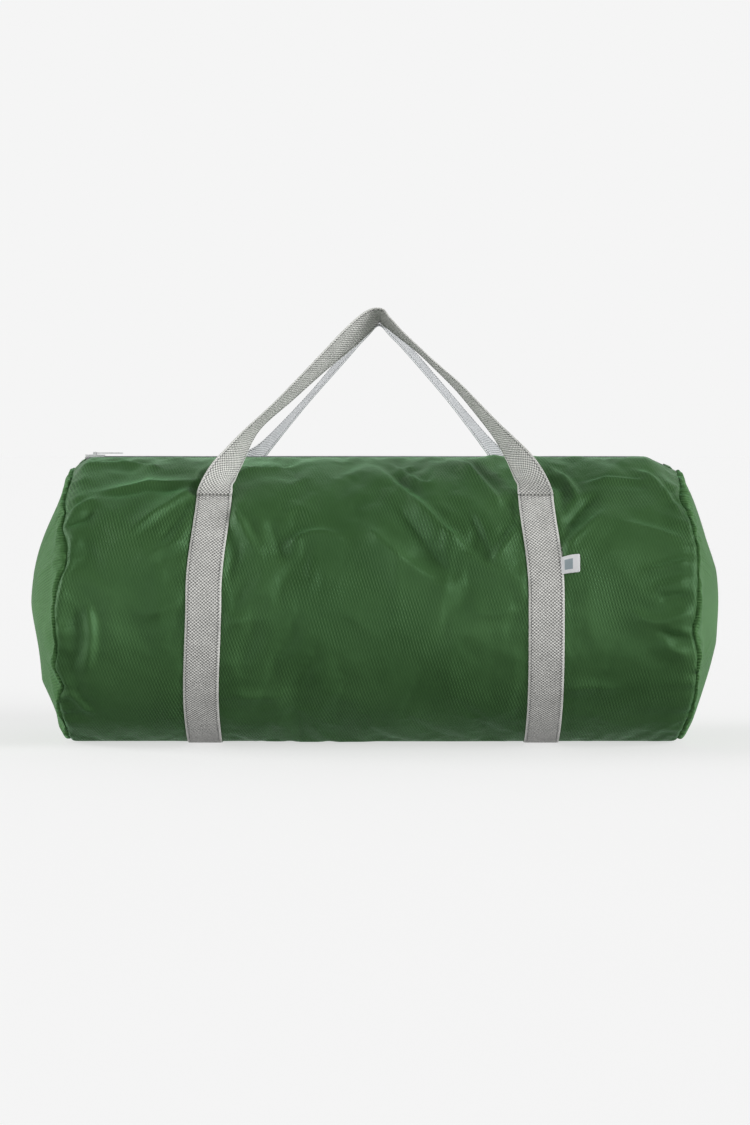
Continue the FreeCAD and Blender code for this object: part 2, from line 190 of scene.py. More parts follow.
def add_parts(name, parts, material):
    """One mesh from many parts, each a pair of points and faces."""
    vertices = []
    faces = []
    for part_vertices, part_faces in parts:
        start = len(vertices)
        vertices += list(part_vertices)
        faces += [tuple(start + i for i in face) for face in part_faces]
    return add_mesh(name, vertices, faces, None, material)


def on_grid(*parts):
    """Arrays that broadcast to one grid, as the last axis of a single array."""
    return np.stack(np.broadcast_arrays(*parts), axis=-1)


def distances(points):
    """How far each point lies along their line."""
    steps = np.linalg.norm(np.diff(points, axis=0), axis=1)
    return np.concatenate([[0], np.cumsum(steps)])


def apply_modifier(obj, name):
    with bpy.context.temp_override(object=obj, active_object=obj, selected_objects=[obj]):
        bpy.ops.object.modifier_apply(modifier=name)


def subdivide(obj):
    modifier = obj.modifiers.new("Subdivision", "SUBSURF")
    modifier.levels = 1
    modifier.render_levels = 1
    modifier.boundary_smooth = "PRESERVE_CORNERS"
    apply_modifier(obj, modifier.name)


def coordinates(obj):
    points = np.empty(len(obj.data.vertices) * 3)
    obj.data.vertices.foreach_get("co", points)
    return points.reshape(-1, 3)


# ------------ how the mouth opens

MOUTH_FULL = 0.265              # the lips tilt fully inside this distance from the middle
MOUTH_END = 0.425               # and not at all beyond this one


def mouth_share(points):
    """How far a point follows its lip: a lens along the zipper, fading below the hinge."""
    along = 1 - smooth(np.abs(points[:, 0]), MOUTH_FULL, MOUTH_END)
    return along * smooth(points[:, 2], HINGE_LOW, HINGE_HIGH)


def blend_with_lip(obj):
    """Bake a piece's placement into its points; each point's share of its lip, closing towards the
    zipper's ends, is reckoned but not used.
    """
    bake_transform(obj)
    mouth_share(coordinates(obj))


def hand_over(obj, nodes=(), lip=None, body="root"):
    """Hide the CAD nodes that a piece replaces; a piece for a lip only has its placement baked, and any
    other is attached to its body.
    """
    if nodes:
        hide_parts(*nodes)
    if lip:
        blend_with_lip(obj)
    else:
        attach(obj, body)


# ------------ section of the bag

def section_profile():
    """Front half of the section from the top to the bottom middle: arc length, Y and Z."""
    spacing = 0.0005
    lowest = -math.asin((MIDDLE - SOLE) / HALF_HEIGHT)
    angles = np.linspace(math.pi / 2, lowest, 1500)
    y = -HALF_DEPTH * np.cos(angles)
    z = MIDDLE + HALF_HEIGHT * np.sin(angles)
    flat = np.arange(y[-1] + spacing, 0, spacing)
    y = np.concatenate([y, flat, [0.0]])
    z = np.concatenate([z, np.full(len(flat) + 1, SOLE)])
    length = np.concatenate([[0], np.cumsum(np.hypot(np.diff(y), np.diff(z)))])
    even = np.arange(0, length[-1], spacing)
    reach = 24                  # samples: rounds the corner where the fabric meets the floor
    kernel = np.hanning(2 * reach + 1)
    kernel /= kernel.sum()
    rounded = []
    for values, mirror in ((y, -1), (z, 1)):
        values = np.interp(even, length, values)
        before, after = values[reach:0:-1], values[-2:-reach - 2:-1]
        padded = np.concatenate([mirror * before, values, mirror * after])
        rounded.append(np.convolve(padded, kernel, "valid"))
    return even, *rounded


ARC, ARC_Y, ARC_Z = section_profile()
HALF_GIRTH = ARC[-1]


def at_arc(s):
    """Y and Z of the front half at arc length s from the top."""
    return np.interp(s, ARC, ARC_Y), np.interp(s, ARC, ARC_Z)


def arc_normal(s):
    step = 0.004
    y0, z0 = at_arc(np.maximum(s - step, 0))
    y1, z1 = at_arc(np.minimum(s + step, HALF_GIRTH))
    normal = unit(np.stack([z1 - z0, -(y1 - y0)], axis=-1))
    return normal[..., 0], normal[..., 1]


def arc_of_height(z):
    """Arc length of the point at height z on the front."""
    return float(np.interp(-z, -ARC_Z, ARC))


TACK_S = arc_of_height(FOLD[2] - 0.002)
MIDDLE_S = arc_of_height(MIDDLE)


def band_lean(s, end):
    """A band leans inward near its tack and a little outward below."""
    upper = 0.0115 * (1 - smooth(s, TACK_S, TACK_S + 0.16))
    lower = (0.0070 if end < 0 else 0.0015) * smooth(s, MIDDLE_S - 0.02, MIDDLE_S + 0.16)
    return 0.0025 - upper + lower


# ------------ fabric grid

def columns_along(step):
    """Places of a grid's columns: even, and closer at the rims and the bands' edges."""
    even = np.linspace(-RIM, RIM, round(2 * RIM / step) + 1)
    extra = [RIM - gap for gap in (0.0010, 0.0024, 0.0044, 0.0070)]
    for offset in (-0.0285, -0.0262, -0.0235, 0.0235, 0.0262, 0.0285):
        extra.append(BAND_X + offset)
    extra = np.array(extra + [-value for value in extra])
    near = np.min(np.abs(even[:, None] - extra[None, :]), axis=1)
    kept = even[((near > 0.0015) & (np.abs(even) < RIM - 0.008)) | (np.abs(even) > RIM - 1e-6)]
    return np.sort(np.concatenate([kept, extra]))


def rows_around(step):
    """Arc lengths of a grid's rows: close at the folded edge, then even."""
    even = np.linspace(0.0195, HALF_GIRTH, round((HALF_GIRTH - 0.0195) / step) + 1)
    return np.concatenate([[ZIP_EDGE, 0.0115, 0.0150], even])


COLUMNS = columns_along(0.0040)
ROWS = rows_around(0.0039)
COARSE_COLUMNS = columns_along(0.0080)
COARSE_ROWS = rows_around(0.0078)

# How far each front rim seam lies inside the rim, as (height, distance) from top to bottom.
SEAM_INSET = {
    -1: [(0.420, 0.004), (0.412, 0.008), (0.400, 0.008), (0.378, 0.004), (0.345, 0.009),
         (0.335, 0.004), (0.300, 0.015), (0.270, 0.014), (0.245, 0.004), (0.210, -0.002), (0.140, 0.001),
         (0.120, -0.004), (0.092, 0.009), (0.068, -0.003), (0.030, 0.002), (0.0, 0.005)],
    1: [(0.420, 0.004), (0.412, 0.006), (0.400, 0.006), (0.378, 0.013), (0.362, 0.004), (0.345, 0.0),
        (0.300, -0.006), (0.240, -0.005), (0.200, -0.003), (0.178, 0.003), (0.140, -0.006),
        (0.080, -0.006), (0.050, -0.002), (0.025, 0.004), (0.0, 0.009)],
}


def rim_wander(s, end, side):
    """How far the rim seam wanders along the bag."""
    heights, insets = np.array(SEAM_INSET[end])[::-1].T
    z = at_arc(s)[1]
    front = np.interp(z, heights, insets)
    front = 0.5 * front + 0.25 * np.interp(z + 0.006, heights, insets)
    front = front + 0.25 * np.interp(z - 0.006, heights, insets)
    plain = -0.004 * ripple(s, 11 + end, (0.047, 0.083, 0.17), (0.8, 1.0, 0.7)) + 0.002
    middle = smooth(s, 0.0, 0.06) * (1 - smooth(s, HALF_GIRTH - 0.06, HALF_GIRTH))
    back = front * (1 - middle) + plain * middle
    return -end * (front if side < 0 else back)


def rim_offset(s, end, side):
    """How far the seam lies under the plain section: a groove with puckers."""
    depth = -0.0050 + 0.0018 * ripple(s * side, 31 + end, (0.019, 0.033), (1.0, 0.8))
    return depth * (1 - 0.6 * bell(s, 0.0, 0.05))


def sag(x, z):
    """The top corner of each end hangs a little."""
    upper = smooth(z, MIDDLE + 0.02, TOP)
    right = 0.020 * smooth(x, RIM - 0.060, RIM + 0.004)
    left = 0.020 * smooth(-x, RIM - 0.034, RIM + 0.008)
    return -(right + left) * upper


def band_cover(x, s, margin=0.012):
    """1 under a band and 0 away from it; x is a column's place before the bands lean."""
    distance = np.abs(np.abs(x) - BAND_X)
    across = 1 - smooth(distance, WEB_WIDTH / 2 - 0.001, WEB_WIDTH / 2 + margin)
    return across * smooth(s, TACK_S - 0.030, TACK_S - 0.012)


FOLD_GAIN = 2.3                 # all the folds' heights are raised by this
FOLD_STEEPNESS = 0.85           # but never above this share of the fold's half width
FOLD_GENTLE = 2.2               # the gentle flank is this much wider than the steep one

# Folds that cross the front, in millimetres: height, half width, points along it as (X, Z).
FRONT_FOLDS = [
    (5.5, 9, (2, 404), (45, 365), (103, 313), (168, 256)),
    (-3.5, 15, (30, 350), (70, 300), (115, 245)),
    (3.5, 11, (-10, 318), (30, 282), (89, 244)),
    (3.4, 5, (30, 411), (62, 386), (75, 383), (89, 394)),
    (3.8, 7, (118, 410), (142, 394), (166, 371), (184, 345)),
    (-3, 13, (128, 345), (155, 300), (166, 272)),
    (2.6, 8, (166, 272), (190, 305), (204, 330)),
    (4, 8, (-205, 345), (-185, 315), (-165, 280)),
    (3, 7, (-215, 392), (-160, 400), (-110, 404)),
    (-3, 14, (-150, 330), (-135, 292), (-121, 270)),
    (2.6, 9, (-128, 290), (-105, 306), (-72, 312), (-40, 300)),
    (4, 7, (-258, 374), (-300, 346), (-357, 304)),
    (3, 8, (-262, 382), (-320, 380), (-400, 372)),
    (-2.4, 10, (-262, 362), (-285, 325), (-320, 285)),
    (2, 9, (-262, 300), (-300, 290), (-345, 262)),
    (4.8, 6, (-445, 340), (-422, 352), (-398, 362)),
    (-4, 6, (-446, 332), (-420, 334), (-402, 346)),
    (-4.2, 8, (-425, 205), (-417, 165), (-428, 120)),
    (2.8, 7, (-408, 215), (-400, 170), (-410, 120)),
    (3.4, 6, (-440, 90), (-420, 65), (-405, 52)),
    (2.6, 6, (-440, 405), (-380, 412), (-310, 404)),
    (4.8, 8.5, (268, 288), (292, 314), (330, 346)),
    (-3.4, 10, (270, 318), (290, 345), (320, 372)),
    (3.6, 6, (262, 402), (282, 385), (290, 360)),
    (2.2, 4, (300, 384), (345, 390), (400, 387)),
    (4.4, 7, (396, 235), (420, 244), (448, 250)),
    (3.4, 7, (385, 262), (415, 268), (448, 280)),
    (-4.2, 6, (400, 222), (425, 226), (448, 228)),
    (3, 9, (360, 205), (400, 190), (448, 206)),
    (4.2, 7, (405, 165), (425, 150), (448, 145)),
    (-3.6, 6, (400, 178), (422, 170), (446, 166)),
    (4, 7, (380, 400), (410, 385), (440, 350)),
    (2.8, 11, (350, 330), (400, 318), (446, 310)),
    (1.6, 10, (268, 90), (300, 96), (350, 90)),
    (1.8, 11, (-268, 230), (-300, 205), (-340, 200)),
    (1.8, 11, (-210, 200), (-180, 192), (-140, 200)),
    (1.6, 11, (-210, 90), (-170, 80), (-120, 86)),
    (1.6, 11, (206, 212), (170, 200), (130, 206)),
]


def fold_height(x, s, path, height, width):
    """A fold along a line of (X, arc length) points: steep on its left, gentle on its right."""
    nearest = np.full(x.shape, 1e9)
    along_best = np.zeros_like(x)
    left_best = np.zeros_like(x)
    lengths = [math.dist(path[i], path[i + 1]) for i in range(len(path) - 1)]
    passed = 0.0
    for (x0, s0), (x1, s1), length in zip(path, path[1:], lengths):
        dx, ds = x1 - x0, s1 - s0
        t = np.clip(((x - x0) * dx + (s - s0) * ds) / (length * length), 0, 1)
        distance = np.hypot(x - x0 - t * dx, s - s0 - t * ds)
        closer = distance < nearest
        nearest = np.where(closer, distance, nearest)
        along_best = np.where(closer, passed + t * length, along_best)
        left_best = np.where(closer, dx * (s - s0) - ds * (x - x0), left_best)
        passed += length
    share = along_best / passed
    taper = smooth(share, -0.10, 0.25) * (1 - smooth(share, 0.65, 1.10))
    reach = np.where(left_best < 0, width, FOLD_GENTLE * width)
    rounded = 1 / (1 + (nearest / (0.72 * reach)) ** 2) ** 1.5
    crest = 0.45 * rounded + 0.55 * np.exp(-nearest / (0.60 * reach))
    hollow = bell(nearest, 1.6 * reach, 0.9 * reach)
    raised = math.copysign(min(FOLD_GAIN * abs(height), FOLD_STEEPNESS * width), height)
    return raised * (crest - 0.30 * hollow) * taper


def dense_path(points):
    """The fold's points turned to arc lengths, with smooth steps between."""
    x, z = np.array(points).T
    s = [arc_of_height(height) for height in z]
    t = np.linspace(0, 1, len(points))
    fine = np.linspace(0, 1, 4 * (len(points) - 1) + 1)
    order = min(2, len(points) - 1)
    return list(zip(*(np.polyval(np.polyfit(t, values, order), fine) for values in (x, s))))


def fold_field(x, s, side):
    """All listed folds on one half; the back repeats them turned about."""
    total = np.zeros_like(x)
    for height, width, *points in FRONT_FOLDS:
        points = [(px / 1000, pz / 1000) for px, pz in points]
        if side > 0:
            points = [(-px * 0.97 + 0.012, pz - 0.006) for px, pz in points]
        total += fold_height(x, s, dense_path(points), height / 1000, width / 1000)
    return total


def seam_puckers(x, s, side):
    """Small puckers at right angles to the rims, the bands' edges and the zipper."""
    total = np.zeros_like(x)
    for end in (-1, 1):
        distance = RIM - end * x
        wave = ripple(s * side, 41 + end, (0.026, 0.043, 0.071), (0.7, 1.0, 0.9))
        total += 0.0026 * wave * np.exp(-distance / 0.030) * smooth(distance, -0.001, 0.004)
        for edge in (-1, 1):
            off = edge * (x - end * BAND_X) - WEB_WIDTH / 2
            wave = ripple(s * side, 51 + end * 3 + edge, (0.030, 0.052), (0.8, 1.0))
            inside = smooth(off, -0.002, 0.006) * smooth(s, TACK_S - 0.02, TACK_S + 0.01)
            total += (0.0009 + 0.0010 * wave) * inside * np.exp(-np.maximum(off, 0) / 0.018)
    zip_wave = ripple(x, 61 + side, (0.027, 0.043, 0.075), (0.7, 1.0, 0.8))
    total += 0.0030 * zip_wave * np.exp(-s / 0.040) * smooth(s, 0.023, 0.045)
    return total


def creases(x, s, side):
    """Slack fabric: flat patches that meet in soft creases; the back has more of them."""
    total = np.zeros_like(x)
    for seed, size, height in ((101, 0.26, 0.0042), (102, 0.15, 0.0026)):
        noise = soft_noise(x, s, seed + side, size, 6)
        total += height * (0.6 - np.sqrt(noise ** 2 + 0.0025))
    return total * (1.35 if side < 0 else 1.5)


def base_grid(side, columns, rows):
    """The plain half: positions [row, column, 3], outward normals, and the two parameters."""
    x, s = np.meshgrid(columns, rows)
    y, z = at_arc(s)
    ny, nz = arc_normal(s)
    for end in (-1, 1):
        near = smooth(end * x, RIM - 0.070, RIM)
        x = x + rim_wander(s, end, side) * near
        x = x + end * band_lean(s, end) * bell(end * x, BAND_X, 0.075)
    rim_gap = np.minimum(columns + RIM, RIM - columns)[None, :]
    inset = np.zeros_like(s)
    for end in (-1, 1):
        near = np.exp(-rim_gap / 0.0022) * (end * x > 0)
        inset += rim_offset(s, end, side) * near
    y = y + ny * inset
    z = z + nz * inset + sag(x, z)
    return on_grid(x, -side * y, z), on_grid(0.0, -side * ny, nz), np.tile(columns, (len(rows), 1)), s


COARSE_RINGS = np.array([1.0, 0.992, 0.978, 0.955, 0.92, 0.88, 0.83, 0.77, 0.70, 0.62,
                         0.53, 0.43, 0.32, 0.21, 0.10])
RINGS = np.concatenate([[1.0, 0.996, 0.990, 0.982, 0.972, 0.960], np.linspace(0.945, 0.04, 47)])


def dome_share(ring, z, end):
    """The bulge of an end from 0 at its rim to 1 at its middle; its top corner is drawn in."""
    round_part = 1 - ring ** 2
    drawn_in = 0.17 if end < 0 else 0.06
    upper = (1 + drawn_in) * round_part - drawn_in
    lower = 1.06 * round_part - 0.06
    up = smooth(z, MIDDLE - 0.06, MIDDLE + 0.08)
    return upper * up + lower * (1 - up)


def cap_grid(end, halves, shares):
    """One bulged end, from its rim to its middle: rings [ring, point, 3] and a pole."""
    column = 0 if end < 0 else -1
    front = halves[-1][0][:, column]
    back = halves[1][0][:, column]
    rim = np.concatenate([front, back[-2::-1]])
    arcs = halves[-1][3][:, 0]
    distance = np.concatenate([-arcs, arcs[-2::-1]])
    centre = np.array([0, MIDDLE - 0.004])
    rings = []
    for ring in shares:
        inward = 1 - ring
        factor = ring + 0.018 * (1 - np.exp(-inward / 0.006)) * ring
        yz = centre + (rim[:, 1:] - centre) * factor
        plain = RIM + BULGE * dome_share(ring, yz[:, 1], end)
        at_rim = RIM + BULGE * dome_share(1.0, yz[:, 1], end)
        seam = (end * rim[:, 0] - at_rim) * math.exp(-inward / 0.07)
        puff = 0.0060 * (1 - math.exp(-inward / 0.010)) * math.exp(-inward / 0.12)
        wave = ripple(distance, 71 + end, (0.031, 0.052, 0.094), (0.5, 1.0, 1.0))
        pucker = 0.0030 * wave * math.exp(-inward / 0.07) * (1 - math.exp(-inward / 0.012))
        noise = soft_noise(yz[:, 0], yz[:, 1], 81 + end, 0.22, 6)
        wrinkle = 0.0060 * (0.6 - np.sqrt(noise ** 2 + 0.004)) * smooth(inward, 0.02, 0.2)
        x = end * (plain + seam + puff + pucker + wrinkle)
        rings.append(np.column_stack([x, yz[:, 0], np.maximum(yz[:, 1], 0.0012)]))
    pole = np.mean(rings[-1], axis=0)
    return np.array(rings), pole


def read_between(values, old, new):
    """Rows of values at old places, read at new places between them."""
    place = np.interp(new, old, np.arange(len(old)))
    low = np.clip(place.astype(int), 0, len(old) - 2)
    share = (place - low)[:, None, None]
    return values[low] * (1 - share) + values[low + 1] * share


def resample(values, old_rows, old_columns, new_rows, new_columns):
    """Values on one grid, read at the rows and columns of a finer one."""
    values = read_between(values, old_rows, new_rows).swapaxes(0, 1)
    return read_between(values, old_columns, new_columns).swapaxes(0, 1)


# ------------ cloth simulation

CLOTH_FRAMES = 22
CLOTH_CAP = 0.010               # no point moves further than this
SLACK_SHARE = 0.6               # share of the simulated wrinkles that the body keeps
CLOTH_SETTINGS = {
    "quality": 5, "mass": 0.2, "tension_stiffness": 25, "compression_stiffness": 25,
    "shear_stiffness": 8, "bending_stiffness": 0.35, "vertex_group_mass": "sewn",
    "shrink_min": -0.022, "use_pressure": True, "uniform_pressure_force": 1.2,
}


def closed_fabric(halves, caps):
    """Both halves and both ends as one mesh: points, faces, and 1 at each sewn point."""
    rows, count = halves[-1][0].shape[:2]
    around = 2 * rows - 1
    wrap, x, s = (np.concatenate([halves[-1][k], halves[1][k][-2::-1]]) for k in (0, 2, 3))
    wrap = wrap.reshape(-1, 3)
    x = x.ravel()
    s = s.ravel()
    points = [wrap]
    faces = grid_faces(around, count)
    sewn = (band_cover(x, s) > 0.6) | (s < 0.02) | (wrap[:, 2] < 0.0035)
    sewn = (sewn | (np.abs(x) > RIM - 0.0035)).astype(float)
    total = len(x)
    for end in (-1, 1):
        rings, pole = caps[end]
        inner = rings[1:].reshape(-1, 3)
        column = 0 if end < 0 else count - 1
        rim = [r * count + column for r in range(around)]
        last = total + (len(rings) - 2) * around
        pole_index = total + len(inner)
        cap = []
        for k in range(around):
            m = (k + 1) % around
            quad = (rim[k], total + k, total + m, rim[m])
            cap.append(quad if end > 0 else quad[1:] + quad[:1])
        cap += grid_faces(len(rings) - 1, around, wrap=True, start=total)
        cap += [(last + k, pole_index, last + (k + 1) % around) for k in range(around)]
        faces += cap if end > 0 else [face[::-1] for face in cap]
        points += [inner, pole[None, :]]
        sewn = np.concatenate([sewn, np.zeros(len(inner) + 1)])
        total = pole_index + 1
    return np.concatenate(points), faces, sewn


def simulate(halves, caps):
    """Let the sewn fabric find its own slack folds under a slight pressure from inside.

    Returns each point's movement, in the same order as the grids."""
    points, faces, sewn = closed_fabric(halves, caps)
    seed = soft_noise(points[:, 0], points[:, 1] + points[:, 2], 5, 0.06) * (1 - sewn)
    outward = unit(points - np.array([0, 0, MIDDLE]))
    obj = add_mesh("fabric_simulation", points + 0.0007 * outward * seed[:, None], faces)
    group = obj.vertex_groups.new(name="sewn")
    group.add([int(i) for i in np.nonzero(sewn > 0)[0]], 1.0, "REPLACE")
    cloth = obj.modifiers.new("Cloth", "CLOTH")
    for key, value in CLOTH_SETTINGS.items():
        setattr(cloth.settings, key, value)
    cloth.settings.effector_weights.gravity = 0
    cloth.collision_settings.use_collision = False
    cloth.point_cache.frame_start = 1
    cloth.point_cache.frame_end = CLOTH_FRAMES
    scene = bpy.context.scene
    for number in range(1, CLOTH_FRAMES + 1):
        scene.frame_set(number)
    result = coordinates(obj.evaluated_get(bpy.context.evaluated_depsgraph_get()))
    scene.frame_set(1)
    bpy.data.objects.remove(obj, do_unlink=True)
    shift = result - points
    length = np.linalg.norm(shift, axis=1, keepdims=True)
    shift *= np.tanh(length / CLOTH_CAP) * CLOTH_CAP / np.maximum(length, 1e-9)
    return shift


def blurred(values, reach=9):
    """Values on a grid, averaged over a wide soft window along both axes."""
    kernel = np.hanning(2 * reach + 3)[1:-1]
    kernel /= kernel.sum()
    for axis in (0, 1):
        pad = [(0, 0)] * 3
        pad[axis] = (reach, reach)
        padded = np.pad(values, pad, mode="edge")
        values = np.apply_along_axis(lambda line: np.convolve(line, kernel, "valid"), axis, padded)
    return values


def slack(shift, grid):
    """The wrinkles of a simulated movement, without its general swelling or sideways drift."""
    normals = grid[1]
    shift = shift - 0.7 * blurred(shift)
    outward = np.sum(shift * normals, axis=-1, keepdims=True) * normals
    kept = outward + 0.3 * (shift - outward)
    return SLACK_SHARE * kept * (1 - band_cover(grid[2], grid[3], 0.022))[..., None]


def split_shift(shift, halves, caps):
    """The simulated movement, read on the finer grids of both halves and both ends.

    The middle point of each end stays where it is."""
    rows, count = halves[-1][0].shape[:2]
    around = 2 * rows - 1
    wrap = shift[:around * count].reshape(around, count, 3)
    parts = {}
    for side, part in ((-1, wrap[:rows]), (1, wrap[rows - 1:][::-1])):
        part = slack(part, halves[side])
        parts[side] = resample(part, COARSE_ROWS, COARSE_COLUMNS, ROWS, COLUMNS)
    start = around * count
    old_turn = np.concatenate([COARSE_ROWS, 2 * HALF_GIRTH - COARSE_ROWS[-2::-1]])
    new_turn = np.concatenate([ROWS, 2 * HALF_GIRTH - ROWS[-2::-1]])
    ends = {}
    for end in (-1, 1):
        rings = len(caps[end][0]) - 1
        inner = shift[start:start + rings * around].reshape(rings, around, 3)
        column = 0 if end < 0 else count - 1
        whole = np.concatenate([wrap[None, :, column], inner])
        whole = whole - np.mean(whole, axis=1, keepdims=True)
        ends[end] = resample(whole, -COARSE_RINGS, old_turn, -RINGS, new_turn)
        start += rings * around + 1
    return parts, ends


# ------------ materials

class Nodes:
    """Short calls for building the nodes of a material or of the world."""

    def __init__(self, owner, shader="Principled BSDF"):
        owner.use_nodes = True
        self.owner = owner
        self.tree = owner.node_tree
        self.shader = self.tree.nodes[shader]

    def fill(self, node, inputs):
        """Give inputs of a node their values, or link them."""
        for name, value in inputs.items():
            if isinstance(value, bpy.types.NodeSocket):
                self.tree.links.new(value, node.inputs[name])
            else:
                node.inputs[name].default_value = value

    def shade(self, **inputs):
        """The same for the owner's shader; a name's underscores stand for spaces."""
        self.fill(self.shader, {name.replace("_", " "): value for name, value in inputs.items()})

    def add(self, kind, inputs=None, **settings):
        node = self.tree.nodes.new(kind)
        for key, value in settings.items():
            setattr(node, key, value)
        self.fill(node, inputs or {})
        return node

    def math(self, operation, *values):
        inputs = dict(enumerate(values))
        return self.add("ShaderNodeMath", inputs, operation=operation).outputs[0]

    def times(self, first, second):
        return self.math("MULTIPLY", first, second)

    def line(self, value, slope, start):
        """The slope times a value, plus the start."""
        return self.math("MULTIPLY_ADD", value, slope, start)

    def between(self, value, low, high):
        return self.math("MINIMUM", self.math("MAXIMUM", value, low), high)

    def split(self, vector):
        return self.add("ShaderNodeSeparateXYZ", {0: vector}).outputs

    def place(self, kind="Object"):
        return self.add("ShaderNodeTexCoord").outputs[kind]

    def uv(self):
        vector = self.add("ShaderNodeUVMap", uv_map="UVMap").outputs[0]
        return vector, *self.split(vector)[:2]

    def wave(self, coordinate, period, phase=0.0):
        """A sine along a coordinate, from -1 to 1."""
        return self.math("SINE", self.line(coordinate, TAU / period, phase))

    def noise(self, vector, scale, detail=3.0, roughness=0.5):
        inputs = {"Vector": vector, "Scale": scale, "Detail": detail, "Roughness": roughness}
        return self.add("ShaderNodeTexNoise", inputs).outputs["Fac"]

    def ramp(self, factor, *stops):
        node = self.add("ShaderNodeValToRGB", {"Fac": factor})
        elements = node.color_ramp.elements
        while len(elements) < len(stops):
            elements.new(0.5)
        for element, (place, colour) in zip(elements, stops):
            element.position = place
            element.color = (*colour, 1)
        return node.outputs["Color"]

    def bump(self, height, distance, strength=1.0, under=None):
        inputs = {"Height": height, "Distance": distance, "Strength": strength}
        if under is not None:
            inputs["Normal"] = under
        return self.add("ShaderNodeBump", inputs).outputs["Normal"]


def new_surface(name):
    return Nodes(bpy.data.materials.new(name))


def scaled(colour, factor, limit=1.0):
    return tuple(min(limit, factor * c) for c in colour)


def nylon_material(name, tone=1.0, gloss=0.32, roughness=0.25):
    """Coated packcloth: slanted ribs across a plain weave, with a satin sheen."""
    n = new_surface(name)
    vector, u, v = n.uv()
    cloudy = n.noise(vector, 7.0, 4.0, 0.55)
    grain = n.noise(vector, 900.0, 2.0, 0.6)
    ribs = n.wave(n.line(cloudy, 0.009, n.line(v, 0.30, u)), 0.0043)
    rows = n.wave(n.line(u, 0.22, v), 0.0056)
    threads = n.times(n.wave(u, 0.0011), n.wave(v, 0.0012))
    patches = n.line(n.noise(vector, 11.0, 2.0), 1.5, -0.50)
    patches = n.math("SMOOTH_MAX", patches, 0.10, 0.1)
    ribbing = n.times(n.times(ribs, n.line(rows, 0.45, 0.55)), patches)
    shaded = n.line(ribbing, 0.80, n.line(cloudy, 0.55, 0.225))
    fine = n.bump(n.line(grain, 0.35, threads), 0.00010, 0.6)
    ribbed = n.bump(ribbing, 0.00060, 0.6, fine)
    n.shade(Base_Color=n.ramp(n.line(threads, 0.05, shaded),
                              (0.25, scaled((0.027, 0.069, 0.021), tone)),
                              (0.50, scaled((0.048, 0.115, 0.038), tone)),
                              (0.75, scaled((0.075, 0.166, 0.060), tone))),
            Roughness=n.line(cloudy, 0.12, roughness),
            Specular_IOR_Level=gloss,
            Specular_Tint=(0.50, 1.0, 0.56, 1.0),
            Sheen_Weight=0.34,
            Sheen_Roughness=0.40,
            Sheen_Tint=(0.30, 0.84, 0.36, 1.0),
            Normal=n.bump(n.noise(vector, 34.0, 3.0, 0.55), 0.0030, 0.32, ribbed))
    return n.owner


def webbing_material(name, tone=1.0, coolness=0.0):
    """Woven webbing: rows of pale knuckles with dark gaps, and smooth selvedges."""
    n = new_surface(name)
    vector, u, v = n.uv()
    basket = n.times(n.wave(u, 0.0052), n.wave(v, 0.0046))
    fine = n.times(n.wave(u, 0.0018, 0.7), n.wave(v, 0.0015, 0.4))
    knuckle = n.line(fine, 0.35, basket)
    selvedge = n.math("GREATER_THAN", n.math("ABSOLUTE", u), WEB_WIDTH / 2 - 0.0026)
    ribbed = n.times(n.wave(v, 0.0022), 0.35)
    height = n.line(knuckle, n.math("SUBTRACT", 1.0, selvedge), n.times(ribbed, selvedge))
    mixed = n.line(height, 0.50, n.line(n.noise(vector, 40.0, 4.0, 0.6), 0.30, 0.33))
    tint = (1 - 0.05 * coolness, 1.0, 0.955 + 0.09 * coolness)
    n.shade(Base_Color=n.ramp(n.line(selvedge, 0.12, mixed),
                              (0.18, scaled(tint, 0.19 * tone)),
                              (0.50, scaled(tint, 0.65 * tone)),
                              (0.86, scaled(tint, 0.97 * tone, 0.97))),
            Roughness=n.line(height, -0.08, 0.62),
            Specular_IOR_Level=0.4,
            Sheen_Weight=0.2,
            Normal=n.bump(height, 0.00055, 0.9))
    return n.owner


def thread_material(name, colour):
    """Twisted sewing thread."""
    n = new_surface(name)
    fuzz = n.noise(n.place(), 1400.0, 2.0)
    n.shade(Base_Color=n.ramp(fuzz, (0.3, scaled(colour, 0.75)), (0.7, colour)),
            Roughness=0.6,
            Normal=n.bump(fuzz, 0.0002, 0.6))
    return n.owner


def tape_material(name, colour):
    """Herringbone tape of a zipper or a binding."""
    n = new_surface(name)
    vector, u, v = n.uv()
    repeat = n.math("FRACT", n.math("DIVIDE", u, 0.006))
    fold = n.math("ABSOLUTE", n.math("SUBTRACT", repeat, 0.5))
    herring = n.wave(n.line(fold, 0.006, v), 0.0016)
    tone = n.line(herring, 0.2, n.noise(vector, 120.0))
    n.shade(Base_Color=n.ramp(tone, (0.25, scaled(colour, 0.7)), (0.75, colour)),
            Roughness=0.75,
            Sheen_Weight=0.15,
            Normal=n.bump(herring, 0.0002, 0.7))
    return n.owner


def moulded_material(name, colour, roughness):
    """Nylon coil or pale nickel, with faint mottling and wear."""
    n = new_surface(name)
    wear = n.noise(n.place(), 260.0, 4.0, 0.65)
    worn = tuple(min(1.0, 1.7 * c + 0.01) for c in colour)
    n.shade(Base_Color=n.ramp(wear, (0.35, colour), (0.78, worn)),
            Roughness=n.line(wear, 0.2, roughness - 0.1),
            Normal=n.bump(wear, 0.0001, 0.5))
    return n.owner


